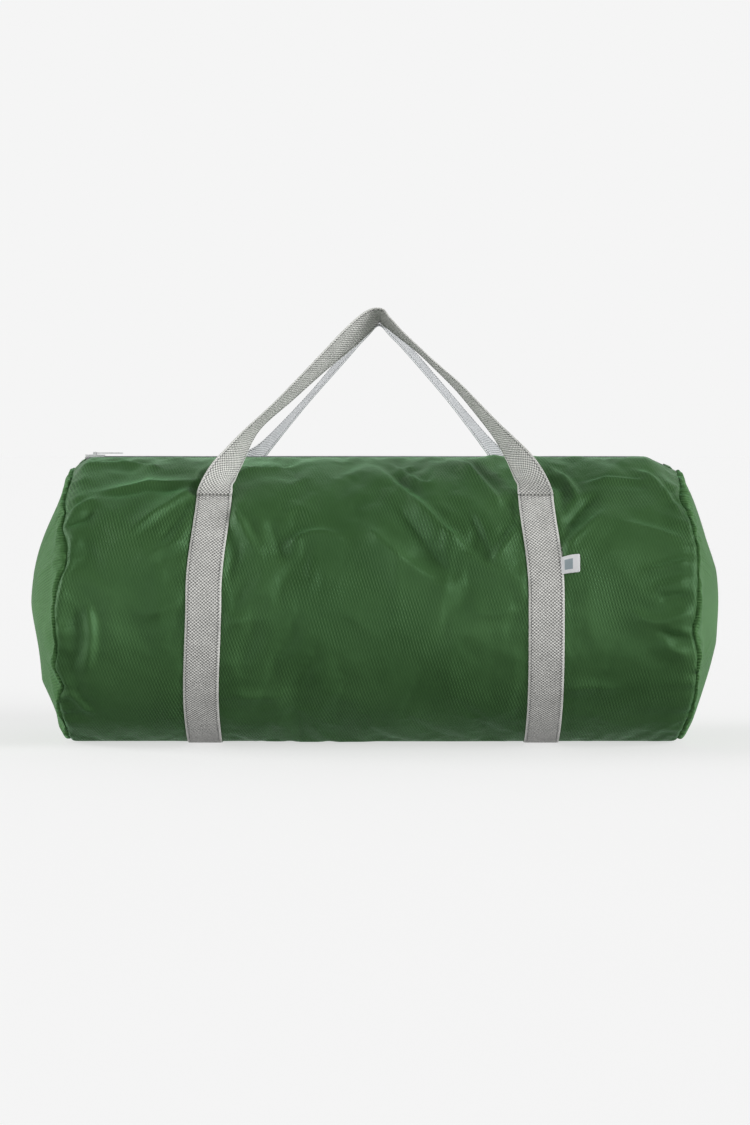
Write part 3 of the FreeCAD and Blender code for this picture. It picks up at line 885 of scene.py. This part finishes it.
def label_material():
    """A white woven label with one plain muted block."""
    n = new_surface("woven_label")
    vector, u, v = n.uv()
    weave = n.times(n.wave(u, 0.0009), n.wave(v, 0.0009))
    block = n.times(n.math("COMPARE", u, 0.0100, 0.0050), n.math("COMPARE", v, 0.0125, 0.0070))
    tone = n.line(n.noise(vector, 300.0), 0.12, n.times(block, 0.75))
    n.shade(Base_Color=n.ramp(tone, (0.05, (0.80, 0.81, 0.82)), (0.15, (0.72, 0.73, 0.74)),
                              (0.75, (0.30, 0.37, 0.40))),
            Roughness=0.55,
            Normal=n.bump(weave, 0.0001, 0.6))
    return n.owner


NYLON = nylon_material("green_nylon")
# The ends' nylon is the same cloth painted 1.34 times lighter: painted light standing in for the side
# lamps on the ends.
NYLON_END_PAINTED_LIGHT = nylon_material("green_nylon_end_painted_light", 1.34, 0.10, 0.42)
WEBBING = webbing_material("grey_webbing")
# The back handle's webbing is the same webbing painted lighter and cooler: painted light for how the
# back handle is lit.
WEBBING_BACK_PAINTED_LIGHT = webbing_material("grey_webbing_back_painted_light", 1.12, 1.0)
GREY_THREAD = thread_material("grey_thread", (0.13, 0.13, 0.135))
PALE_THREAD = thread_material("pale_thread", (0.50, 0.50, 0.49))
GREEN_THREAD = thread_material("green_thread", (0.020, 0.060, 0.022))
ZIP_TAPE = tape_material("zipper_tape_weave", (0.40, 0.43, 0.45))
BINDING = tape_material("binding_weave", (0.03, 0.045, 0.03))
COIL = moulded_material("zipper_coil_nylon", (0.30, 0.32, 0.33), 0.38)
NICKEL = moulded_material("pale_nickel", (0.66, 0.67, 0.68), 0.30)
LABEL = label_material()


# ------------ bag fabric

def finished_half(grid, side, shift):
    """The half's final points: the plain form, its simulated slack, folds and puckers."""
    points, normals, x, s = grid
    plain = points[..., 0]
    quiet = (1 - band_cover(x, s)) * smooth(s, 0.023, 0.050)
    quiet = quiet * smooth(points[..., 2], 0.006, 0.05)
    rim_gap = np.minimum(x + RIM, RIM - x)
    quiet = quiet * smooth(rim_gap, -0.001, 0.012)
    lift = fold_field(plain, s, side) * quiet
    broad = 0.0022 * soft_noise(plain, s * side, 91, 0.19) + creases(plain, s * side, side)
    if side < 0:
        broad = broad * (0.35 + 0.65 * smooth(points[..., 2], 0.10, 0.26))
    broad = broad * quiet * smooth(rim_gap, 0, 0.05)
    puckers = seam_puckers(x, s, side) * smooth(points[..., 2], 0.004, 0.03)
    result = points + shift + normals * (lift + broad + puckers)[..., None]
    result[..., 2] = np.maximum(result[..., 2], LOWEST)
    return result


def make_half(name, side, points, s):
    """A sheet with its edge folded under along the zipper."""
    hem = []
    for past, drop in ((0.013, 0.0016), (0.0008, 0.0014), (-0.0003, 0.0006)):
        row = points[0].copy()
        row[:, 1] = -side * at_arc(ZIP_EDGE + past)[0]
        row[:, 2] -= drop
        hem.append(row)
    sheet = np.concatenate([np.array(hem), points])
    arcs = np.concatenate([[-0.014, -0.002, -0.0006], s[:, 0]])
    return add_sheet(name, sheet, (sheet[..., 0], side * arcs[:, None]), NYLON, flip=side > 0)


def make_end(name, end, rings, pole):
    rows, around = rings.shape[:2]
    points = np.concatenate([rings.reshape(-1, 3), pole[None, :]])
    faces = grid_faces(rows, around, wrap=True)
    last = (rows - 1) * around
    for k in range(around):
        faces.append((last + k, rows * around, last + (k + 1) % around))
    if end < 0:
        faces = [face[::-1] for face in faces]
    # The ends take the lighter copy of the nylon, with painted light.
    return add_mesh(name, points, faces, points[:, [2, 1]], NYLON_END_PAINTED_LIGHT)


def make_bag():
    """The body's two halves and both ends; returns the finished points of each half."""
    halves = {side: base_grid(side, COLUMNS, ROWS) for side in (-1, 1)}
    caps = {end: cap_grid(end, halves, RINGS) for end in (-1, 1)}
    shifts = {-1: 0.0, 1: 0.0}
    cap_shifts = {-1: 0.0, 1: 0.0}
    coarse = {side: base_grid(side, COARSE_COLUMNS, COARSE_ROWS) for side in (-1, 1)}
    coarse_caps = {end: cap_grid(end, coarse, COARSE_RINGS) for end in (-1, 1)}
    shifts, cap_shifts = split_shift(simulate(coarse, coarse_caps), coarse, coarse_caps)
    sheets = {}
    for side, word in SIDES:
        sheets[side] = finished_half(halves[side], side, shifts[side])
        obj = make_half(word + "_bag_fabric", side, sheets[side], halves[side][3])
        nodes = [word + "_lip_panel"] + (["body_panel"] if side < 0 else [])
        hand_over(obj, nodes, lip=word)
    for end, word in ENDS:
        rings, pole = caps[end]
        rings = rings + cap_shifts[end]
        column = 0 if end < 0 else -1
        rings[0] = np.concatenate([sheets[-1][:, column], sheets[1][-2::-1, column]])
        rings[..., 2] = np.maximum(rings[..., 2], LOWEST)
        obj = make_end(word + "_end_fabric", end, rings, pole)
        hand_over(obj, [word + "_end_panel"])
        make_binding(word, end, rings[0])
    return sheets


def make_binding(word, end, rim):
    """Seam allowance inside the rim, folded in its binding tape."""
    centre = np.array([0, MIDDLE])
    yz = rim[:, 1:] - centre
    radius = np.linalg.norm(yz, axis=1, keepdims=True)
    rows = []
    for depth, inset in ((0.0005, 0.0035), (0.011, 0.0050), (0.0115, 0.0068), (0.0005, 0.0060)):
        rows.append(np.column_stack([rim[:, 0] - end * depth, centre + yz * (1 - inset / radius)]))
    across = np.array([0.0, 0.011, 0.012, 0.023])[:, None]
    uvs = (across, np.linspace(0, 2 * HALF_GIRTH, len(rim)))
    obj = add_sheet(word + "_rim_binding_tape", np.array(rows), uvs, BINDING)
    hand_over(obj, [word + "_rim_binding"])


# ------------ webbing

def smooth_curve(values, count):
    """A Catmull-Rom curve through the rows of values, evenly spaced along its first three."""
    values = np.asarray(values, float)
    padded = [2 * values[0] - values[1], *values, 2 * values[-1] - values[-2]]
    fine = []
    steps = 24
    for p0, p1, p2, p3 in zip(padded, padded[1:], padded[2:], padded[3:]):
        for t in np.arange(steps) / steps:
            fine.append(0.5 * (2 * p1 + (p2 - p0) * t + (2 * p0 - 5 * p1 + 4 * p2 - p3) * t ** 2
                               + (3 * p1 - p0 - 3 * p2 + p3) * t ** 3))
    fine = np.array([*fine, values[-1]])
    length = distances(fine[:, :3])
    even = np.linspace(0, length[-1], count)
    return np.column_stack([np.interp(even, length, column) for column in fine.T]), even


def web_outline():
    """A webbing section: offsets across and shares of its thickness."""
    edge = WEB_WIDTH / 2
    half = [(edge, 0.0), (edge - 0.0006, 0.42), (edge * 0.82, 0.5), (edge * 0.4, 0.5)]
    top = [(-a, r) for a, r in half] + [(0, 0.5)] + half[::-1]
    return np.array(top + [(a, -r) for a, r in top[-2:0:-1]])


def make_ribbon(name, centres, across, out, widths, lengths, material):
    """Webbing swept along a line; its flat closed ends meet their neighbours."""
    offset, rise = web_outline().T
    spread = offset[:, None] * (widths / WEB_WIDTH)[:, None, None]
    points = centres[:, None] + across[:, None] * spread + out[:, None] * (rise * WEB)[:, None]
    uvs = on_grid(offset, lengths[:, None]).reshape(-1, 2)
    faces = tube_faces(len(centres), len(offset))
    return add_mesh(name, points.reshape(-1, 3), faces, uvs, material)


def stitch_line(points, along, out, pitch=0.0042, length=0.0028, width=0.00075, lift=0.0002):
    """Short threads along a line; returns points and faces."""
    vertices = []
    faces = []
    distance = distances(points)
    for at in np.arange(pitch / 2, distance[-1], pitch):
        centre, a, o = (np.array([np.interp(at, distance, column) for column in rows.T])
                        for rows in (points, along, out))
        a = unit(a)
        o = unit(o)
        b = np.cross(a, o)
        faces += tube_faces(4, 4, len(vertices))
        for t, swell in ((-0.5, 0.35), (-0.3, 1.0), (0.3, 1.0), (0.5, 0.35)):
            for u, h in ((-0.5, -0.3), (-0.3, 0.45), (0.3, 0.45), (0.5, -0.3)):
                vertices.append(centre + a * (t * length) + b * (u * width * swell)
                                + o * (lift + h * width * swell))
    return vertices, faces


def edge_lines(centres, across, out, widths):
    """Stitch lines near both edges of a ribbon, on its outer face."""
    lines = []
    inset = 0.0042
    along = unit(np.gradient(centres, axis=0))
    for edge in (-1, 1):
        offset = edge * (widths / 2 - inset)
        line = centres + across * offset[:, None] + out * (WEB / 2)
        lines.append(stitch_line(line, along, out))
    return lines


def band_path(side, end):
    """Centres, width directions and outward directions of one band, from tack to floor."""
    s = np.linspace(TACK_S, HALF_GIRTH, 130)
    y, z = at_arc(s)
    ny, nz = arc_normal(s)
    x = end * (BAND_X + band_lean(s, end))
    lift = 0.0004 + WEB / 2
    centres = np.column_stack([x, -side * (y + ny * lift), z + nz * lift])
    centres[:, 2] = np.maximum(centres[:, 2], WEB / 2)
    out = np.column_stack([np.zeros_like(s), -side * ny, nz])
    along = unit(np.gradient(centres, axis=0))
    across = unit(np.cross(out, along)) * side
    return centres, across, out, s


def make_bands():
    for side, word in SIDES:
        threads = []
        for end, end_word in ENDS:
            centres, across, out, s = band_path(side, end)
            widths = np.full(len(s), WEB_WIDTH)
            name = "%s_%s_webbing" % (word, end_word)
            obj = make_ribbon(name, centres, across, out, widths, s, WEBBING)
            nodes = ["%s_%s_band" % (word, end_word)] + ([end_word + "_band"] if side < 0 else [])
            hand_over(obj, nodes, lip=word)
            above_floor = centres[:, 2] > 0.004
            threads += edge_lines(*(part[above_floor] for part in (centres, across, out, widths)))
        obj = add_parts(word + "_band_stitching", threads, GREY_THREAD)
        hand_over(obj, lip=word)
        make_tacks(side, word)


def make_tacks(side, word):
    """Two close rows of zigzag stitches across each band, just under the handle."""
    lines = []
    places = np.linspace(-0.46, 0.46, 24)[:, None] * WEB_WIDTH
    for end in (-1, 1):
        centres, across, out, s = band_path(side, end)
        for depth in (0.0035, 0.0075):
            i = int(np.searchsorted(s, TACK_S + depth))
            line = centres[i] + across[i] * places + out[i] * (WEB / 2)
            along, up = (np.tile(part[i], (24, 1)) for part in (across, out))
            lines.append(stitch_line(line, along, up, 0.0034, 0.0026))
    obj = add_parts(word + "_tack_threads", lines, PALE_THREAD)
    hand_over(obj, [word + "_tack_stitching"], body=word + "_lip")


# Stations of each handle between its feet: X, Y, Z of the middle in millimetres, twist in
# degrees (0 faces the front, 90 is edge on) and width as a share of the webbing's own.
FOOT_X = BAND_X - 0.009
FOOT_Y = abs(FOLD[1])
FRONT_STATIONS = [
    (-226.2, -145.5, 386, 32, 1.0),
    (-205.7, -124, 417.7, 52, 1.0),
    (-171.9, -98.5, 465.6, 76, 1.0),
    (-123.8, -72.5, 512.5, 73, 1.0),
    (-76, -46.5, 559.7, 66, 0.98),
    (-37.8, -26, 596, 55, 0.94),
    (-10, -13, 621, 50, 0.84),
    (6.2, -10, 630.5, 58, 0.74),
    (19, -15, 620, 68, 0.72),
    (37, -24, 603, 78, 0.84),
    (62.2, -37, 580, 84, 0.96),
    (84.8, -50, 558, 84, 1.0),
    (121.1, -69, 523, 80, 1.0),
    (151.9, -88, 488, 76, 1.0),
    (180.3, -107, 453.8, 69, 1.0),
    (207.2, -126, 417.7, 50, 1.0),
    (226.2, -145.5, 386, 32, 1.0),
]
BACK_STATIONS = [
    (-223.5, 148, 380, 16, 1.0),
    (-200, 131, 403, 42, 1.0),
    (-171.4, 112, 430, 66, 1.0),
    (-104.5, 78, 504, 79, 1.0),
    (-51.5, 47, 564, 77, 0.95),
    (-18, 27, 601, 74, 0.8),
    (6.2, 17.5, 621, 70, 0.7),
    (30, 27, 601, 74, 0.8),
    (65.1, 47, 564, 76, 0.95),
    (117.5, 78, 504, 76, 1.0),
    (179, 112, 430, 66, 1.0),
    (204.5, 131, 403, 42, 1.0),
    (225, 148, 380, 16, 1.0),
]


def handle_frames(stations, side):
    """Centres, width directions and outward directions of a handle."""
    feet = [(end * FOOT_X, side * FOOT_Y, FOLD[2], 0, 1.0) for end in (-1, 1)]
    between = np.array(stations) * [0.001, 0.001, 0.001, 1, 1]
    values, lengths = smooth_curve([feet[0], *between, feet[1]], 260)
    centres = values[:, :3]
    twist = -side * np.radians(values[:, 3])
    along = unit(np.gradient(centres, axis=0))
    in_view = unit(along * np.array([1, 0, 1]))
    inner = np.column_stack([in_view[:, 2], np.zeros(len(centres)), -in_view[:, 0]])
    foot = np.minimum(lengths, lengths[-1] - lengths)
    free = smooth(foot, 0.0, 0.075)[:, None]
    feet_across = np.where(centres[:, :1] < 0, 1.0, -1.0) * np.array([[1.0, 0, 0]])
    inner = unit(inner * free + feet_across * (1 - free))
    across = inner * np.cos(twist)[:, None]
    across[:, 1] += np.sin(twist)
    across = across - along * np.sum(across * along, axis=1, keepdims=True) * free
    across = unit(across)
    out = unit(np.cross(across, along))
    return centres, across, out, values[:, 4] * WEB_WIDTH, lengths


def make_handles():
    for (side, word), stations in zip(SIDES, (FRONT_STATIONS, BACK_STATIONS)):
        centres, across, out, widths, lengths = handle_frames(stations, side)
        # The back handle takes the lighter copy of the webbing, with painted light.
        material = WEBBING if side < 0 else WEBBING_BACK_PAINTED_LIGHT
        obj = make_ribbon(word + "_handle_webbing", centres, across, out, widths, lengths, material)
        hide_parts(word + "_handle")
        lines = edge_lines(centres, across, out, widths) + edge_lines(centres, across, -out, widths)
        threads = add_parts(word + "_handle_stitching", lines, GREY_THREAD)
        for piece in (obj, threads):
            blend_foot(piece)


def blend_foot(obj):
    """Bake a handle piece's placement into its points; the share of its first stretch above the tack is
    reckoned but not used.
    """
    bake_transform(obj)
    smooth(coordinates(obj)[:, 2] - FOLD[2], -0.001, 0.012)


# ------------ zipper

EDGE_ROW = 2                    # the grid row whose height the zipper follows


def zip_drop(x, sheets):
    """How far the fabric's top edge lies under the plain section along the bag."""
    row = sheets[-1][EDGE_ROW]
    return np.interp(x, row[:, 0], row[:, 2]) - at_arc(ROWS[EDGE_ROW])[1]


TAPE_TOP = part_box("front_zipper_tape")[1][2]
COIL_LOW, COIL_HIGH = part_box("front_zipper_coil")
ZIP_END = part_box("right_end_coil")[1][0]


def make_tapes(sheets):
    """Each tape is a flat closed strip whose edge follows the fabric's."""
    x = np.linspace(-ZIP_END, ZIP_END, 150)
    s = np.array([0.0008, 0.006, 0.012, 0.022])
    y, z = at_arc(s)
    z = z - (TOP - TAPE_TOP)
    for (side, word), (_, end_word) in zip(SIDES, ENDS):
        rows = []
        for under, order in ((0.0, (0, 1, 2, 3)), (0.0007, (3, 2, 1, 0))):
            for i in order:
                height = z[i] - under + zip_drop(x, sheets)
                rows.append(np.column_stack([x, np.full(len(x), -side * y[i]), height]))
        rows.append(rows[0])
        arcs = np.concatenate([s, s[::-1] + 0.03, s[:1]])
        obj = add_sheet(word + "_zipper_tape_cloth", np.array(rows), (arcs[:, None], x), ZIP_TAPE)
        hand_over(obj, [word + "_zipper_tape", end_word + "_end_tape"], lip=word)


def make_coils(sheets):
    """Each coil is a row of small arched loops over its tape."""
    pitch = 0.0026
    turn = np.linspace(0, math.pi, 6)[:, None]
    along = 0.0004 * np.cos(turn) + 0.00085 * np.array([-1, -1, 1, 1])
    rise = (COIL_HIGH[2] - COIL_LOW[2]) * (0.15 + 0.70 * np.sin(turn))
    height = COIL_LOW[2] + rise + 0.00045 * np.array([-0.6, 0.6, 0.6, -0.6])
    for (side, word), (_, end_word) in zip(SIDES, ENDS):
        loops = []
        reach = side * (0.0018 * (1 - np.cos(turn)) - 0.0001)
        offset = 0.0 if side < 0 else pitch / 2
        for place in np.arange(-ZIP_END + pitch + offset, ZIP_END - pitch, pitch):
            x = place + along
            loop = on_grid(x, reach, height + zip_drop(x, sheets))
            loops.append((loop.reshape(-1, 3), tube_faces(6, 4)))
        obj = add_parts(word + "_zipper_coil_loops", loops, COIL)
        hand_over(obj, [word + "_zipper_coil", end_word + "_end_coil"], lip=word)


def make_zip_stitching(sheets):
    """Two rows of topstitching along each folded edge of the mouth."""
    for side, word in SIDES:
        lines = []
        for row in (1, 2):
            line = sheets[side][row][3:-3]
            along, up = (np.tile(way, (len(line), 1)) for way in ((1.0, 0, 0), (0, 0, 1.0)))
            lines.append(stitch_line(line, along, up, 0.0040, 0.0028, 0.0006, 0.0001))
        obj = add_parts(word + "_mouth_stitching", lines, GREEN_THREAD)
        hand_over(obj, lip=word)


def make_end_tabs(sheets):
    """A folded square of fabric sewn over each end of the zipper."""
    y = np.linspace(-0.016, 0.016, 13)[:, None]
    crown = 0.0016 * bell(y, 0, 0.006) - 0.0012 * (np.abs(y) > 0.0145)
    for end, word in ENDS:
        rim = end * sheets[-1][EDGE_ROW][0 if end < 0 else -1, 0]
        x = np.linspace(ZIP_END - 0.007, rim + 0.0006, 10)
        height = TOP + 0.0016 + zip_drop(end * x, sheets) - 0.0050 * smooth(x, rim - 0.008, rim)
        top = on_grid(end * x, y, height + crown)
        rows = np.concatenate([top, top[::-1] - [0, 0, 0.0009], top[:1]])
        uvs = (rows[..., 0], rows[..., 1])
        obj = add_sheet(word + "_zipper_tab", rows, uvs, NYLON, flip=end < 0)
        subdivide(obj)
        hand_over(obj, ["zipper_end_tabs"] if end < 0 else [])


def make_stops(sheets):
    """A small bent clip over the coils just inside each tab."""
    low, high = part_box("zipper_stops")
    ring = [(-0.0042, -0.0016), (-0.0042, 0.0004), (-0.0030, 0.0012), (0.0030, 0.0012),
            (0.0042, 0.0004), (0.0042, -0.0016),
            (0.0034, -0.0016), (0.0034, 0.0002), (-0.0034, 0.0002), (-0.0034, -0.0016)]
    faces = [face[::-1] for face in tube_faces(2, len(ring))]
    clips = []
    for x in (low[0] + 0.002, high[0] - 0.002):
        base = COIL_HIGH[2] + zip_drop(x, sheets)
        clips.append(([(x + dx, y, base + z) for dx in (-0.0018, 0.0018) for y, z in ring], faces))
    obj = add_parts("zipper_stop_clips", clips, NICKEL)
    obj.data.polygons.foreach_set("use_smooth", [False] * len(obj.data.polygons))
    hand_over(obj, ["zipper_stops"])


def finish_hardware():
    """The slider, its pin and its pull keep their CAD shapes."""
    for node in ("slider_body", "pull_pin", "pull_tab"):
        obj = frame["nodes"][node]
        obj = bpy.data.objects[obj] if isinstance(obj, str) else obj
        for slot in obj.material_slots:
            slot.material = NICKEL


# ------------ label

def fabric_point(sheets, x, s):
    """The point of the finished front at a place along the bag and an arc length."""
    place = np.interp(s, ROWS, np.arange(len(ROWS)))
    low = int(place)
    found = [[np.interp(x, row[:, 0], row[:, k]) for k in (1, 2)]
             for row in (sheets[-1][low], sheets[-1][min(low + 1, len(ROWS) - 1)])]
    y, z = np.array(found[0]) * (1 - place + low) + np.array(found[1]) * (place - low)
    return np.array([x, y, z])


LABEL_HEIGHT = 0.0250


def make_label(sheets):
    """The label beside the right band: a folded tab, a little tilted."""
    low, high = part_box("side_label")
    s = arc_of_height((low[2] + high[2]) / 2)
    width = high[0] - low[0]
    tucked = 0.003              # this much of it is under the band
    steps = np.linspace(0, 1, 9)
    rows = []
    for v in steps - 0.5:
        row = []
        for u in steps:
            arc = s - v * LABEL_HEIGHT - 0.0022 * u
            lift = 0.0014 + 0.0016 * u ** 1.5 + 0.0006 * math.sin(3 * v + 1)
            point = fabric_point(sheets, low[0] - tucked + (width + tucked) * u, arc)
            row.append(point + lift * np.array([0, *arc_normal(arc)]))
        rows.append(row)
    uvs = (width * steps, LABEL_HEIGHT * steps[:, None])
    obj = add_sheet("side_label_tab", np.array(rows), uvs, LABEL, flip=True)
    thick = obj.modifiers.new("Thickness", "SOLIDIFY")
    thick.thickness = 0.0007
    thick.offset = 1.0
    apply_modifier(obj, thick.name)
    subdivide(obj)
    hand_over(obj, ["side_label"], body="front_lip")
    make_loose_thread(fabric_point(sheets, low[0] - 0.002, s - LABEL_HEIGHT / 2))


def make_loose_thread(place):
    """A short end of thread that stands up at the label's top corner."""
    bends = place + np.array([[0, -0.0022, 0], [0.0015, -0.0042, 0.006],
                              [-0.001, -0.0052, 0.011], [0.0010, -0.0052, 0.015]])
    values, _ = smooth_curve(bends, 24)
    curve = bpy.data.curves.new("loose_thread", "CURVE")
    curve.dimensions = "3D"
    curve.bevel_depth = 0.00025
    spline = curve.splines.new("POLY")
    spline.points.add(len(values) - 1)
    for point, value in zip(spline.points, values):
        point.co = (*value, 1)
    curve.materials.append(PALE_THREAD)
    hand_over(add_object("loose_thread", curve), body="front_lip")


# ------------ room, light, camera

WHITE = 0.913                   # the backdrop's even tone
FLOOR_SHADING = 0.33            # share of the floor's tone that its shadows can take away
FLOOR_LIGHT = 0.722             # light that falls on the open floor


def make_floor():
    """A wide pale floor, in the backdrop's tone, with a soft shadow under the bag."""
    n = new_surface("pale_floor")
    low, high = (FLOOR_SHADING * (WHITE + step) / FLOOR_LIGHT for step in (-0.004, 0.004))
    n.shade(Base_Color=n.ramp(n.noise(n.place(), 3.0), (0.3, [low] * 3), (0.7, [high] * 3)),
            Roughness=1.0,
            Specular_IOR_Level=0.0,
            Emission_Color=(1.0, 1.0, 1.0, 1.0),
            Emission_Strength=WHITE * (1 - FLOOR_SHADING))
    points = [(300.0 * x, 300.0 * y, 0.0) for x, y in ((-1, -1), (1, -1), (1, 1), (-1, 1))]
    obj = add_mesh("floor", points, [(0, 1, 2, 3)], None, n.owner)
    obj.visible_diffuse = False
    obj.visible_glossy = False


def make_world():
    """Light from all around: bright to both sides and behind, dimmer in front and above."""
    world = bpy.data.worlds.new("studio")
    bpy.context.scene.world = world
    n = Nodes(world, "Background")
    x, y, z = n.split(n.place("Generated"))
    less_above = n.line(n.math("MAXIMUM", z, 0.0), -0.65, 1.0)
    sides = n.line(n.times(n.times(x, x), less_above), 0.95, 0.06)
    behind = n.line(n.math("MAXIMUM", y, 0.0), 0.50, sides)
    in_front = n.math("SMOOTH_MIN", n.math("MAXIMUM", n.times(y, -4.0), 0.0), 1.0, 0.1)
    low = n.between(n.times(n.math("SUBTRACT", 0.42, z), 6.0), 0.0, 1.0)
    low = n.times(low, n.between(n.line(z, 1.2, 1.15), 0.2, 1.0))
    lit = n.line(n.times(in_front, low), 0.72, behind)
    from_floor = n.line(n.math("MINIMUM", z, 0.0), 0.7, 1.0)
    lit = n.times(lit, n.math("MAXIMUM", from_floor, 0.3))
    seen = n.add("ShaderNodeLightPath").outputs["Is Camera Ray"]
    n.shade(Color=(1.0, 1.0, 1.0, 1.0),
            Strength=n.line(seen, n.math("SUBTRACT", WHITE, lit), lit))


def add_sun(name, direction, strength, angle):
    light = bpy.data.lights.new(name, "SUN")
    light.energy = strength
    light.angle = math.radians(angle)
    obj = add_object(name, light)
    obj.rotation_euler = Vector(direction).to_track_quat("-Z", "Y").to_euler()


def make_light():
    """Two broad soft lamps, one from each side; the right one stands further forward."""
    add_sun("left_lamp", (0.90, -0.05, -0.32), 1.60, 28)
    add_sun("right_lamp", (-0.88, 0.30, -0.32), 1.80, 28)


VIEW_DISTANCE = 4.0
CAMERA_HEIGHT = 0.45
AIM_HEIGHT = 0.262
FRAME_HEIGHT = 1.681            # what the full height of the picture spans at the bag


def make_camera():
    camera = bpy.data.cameras.new("camera")
    camera.sensor_fit = "VERTICAL"
    camera.sensor_height = 36.0
    camera.lens = 36.0 * VIEW_DISTANCE / FRAME_HEIGHT
    camera.clip_end = 60
    obj = add_object("camera", camera)
    obj.location = (0.0, -VIEW_DISTANCE, CAMERA_HEIGHT)
    direction = Vector((0, 0, AIM_HEIGHT)) - obj.location
    obj.rotation_euler = direction.to_track_quat("-Z", "Y").to_euler()
    bpy.context.scene.camera = obj
    bpy.context.scene.view_settings.view_transform = "Standard"


# ------------ assembly

sheets = make_bag()
make_bands()
make_handles()
make_tapes(sheets)
make_coils(sheets)
make_zip_stitching(sheets)
make_end_tabs(sheets)
make_stops(sheets)
finish_hardware()
make_label(sheets)
make_floor()
make_world()
make_light()
make_camera()
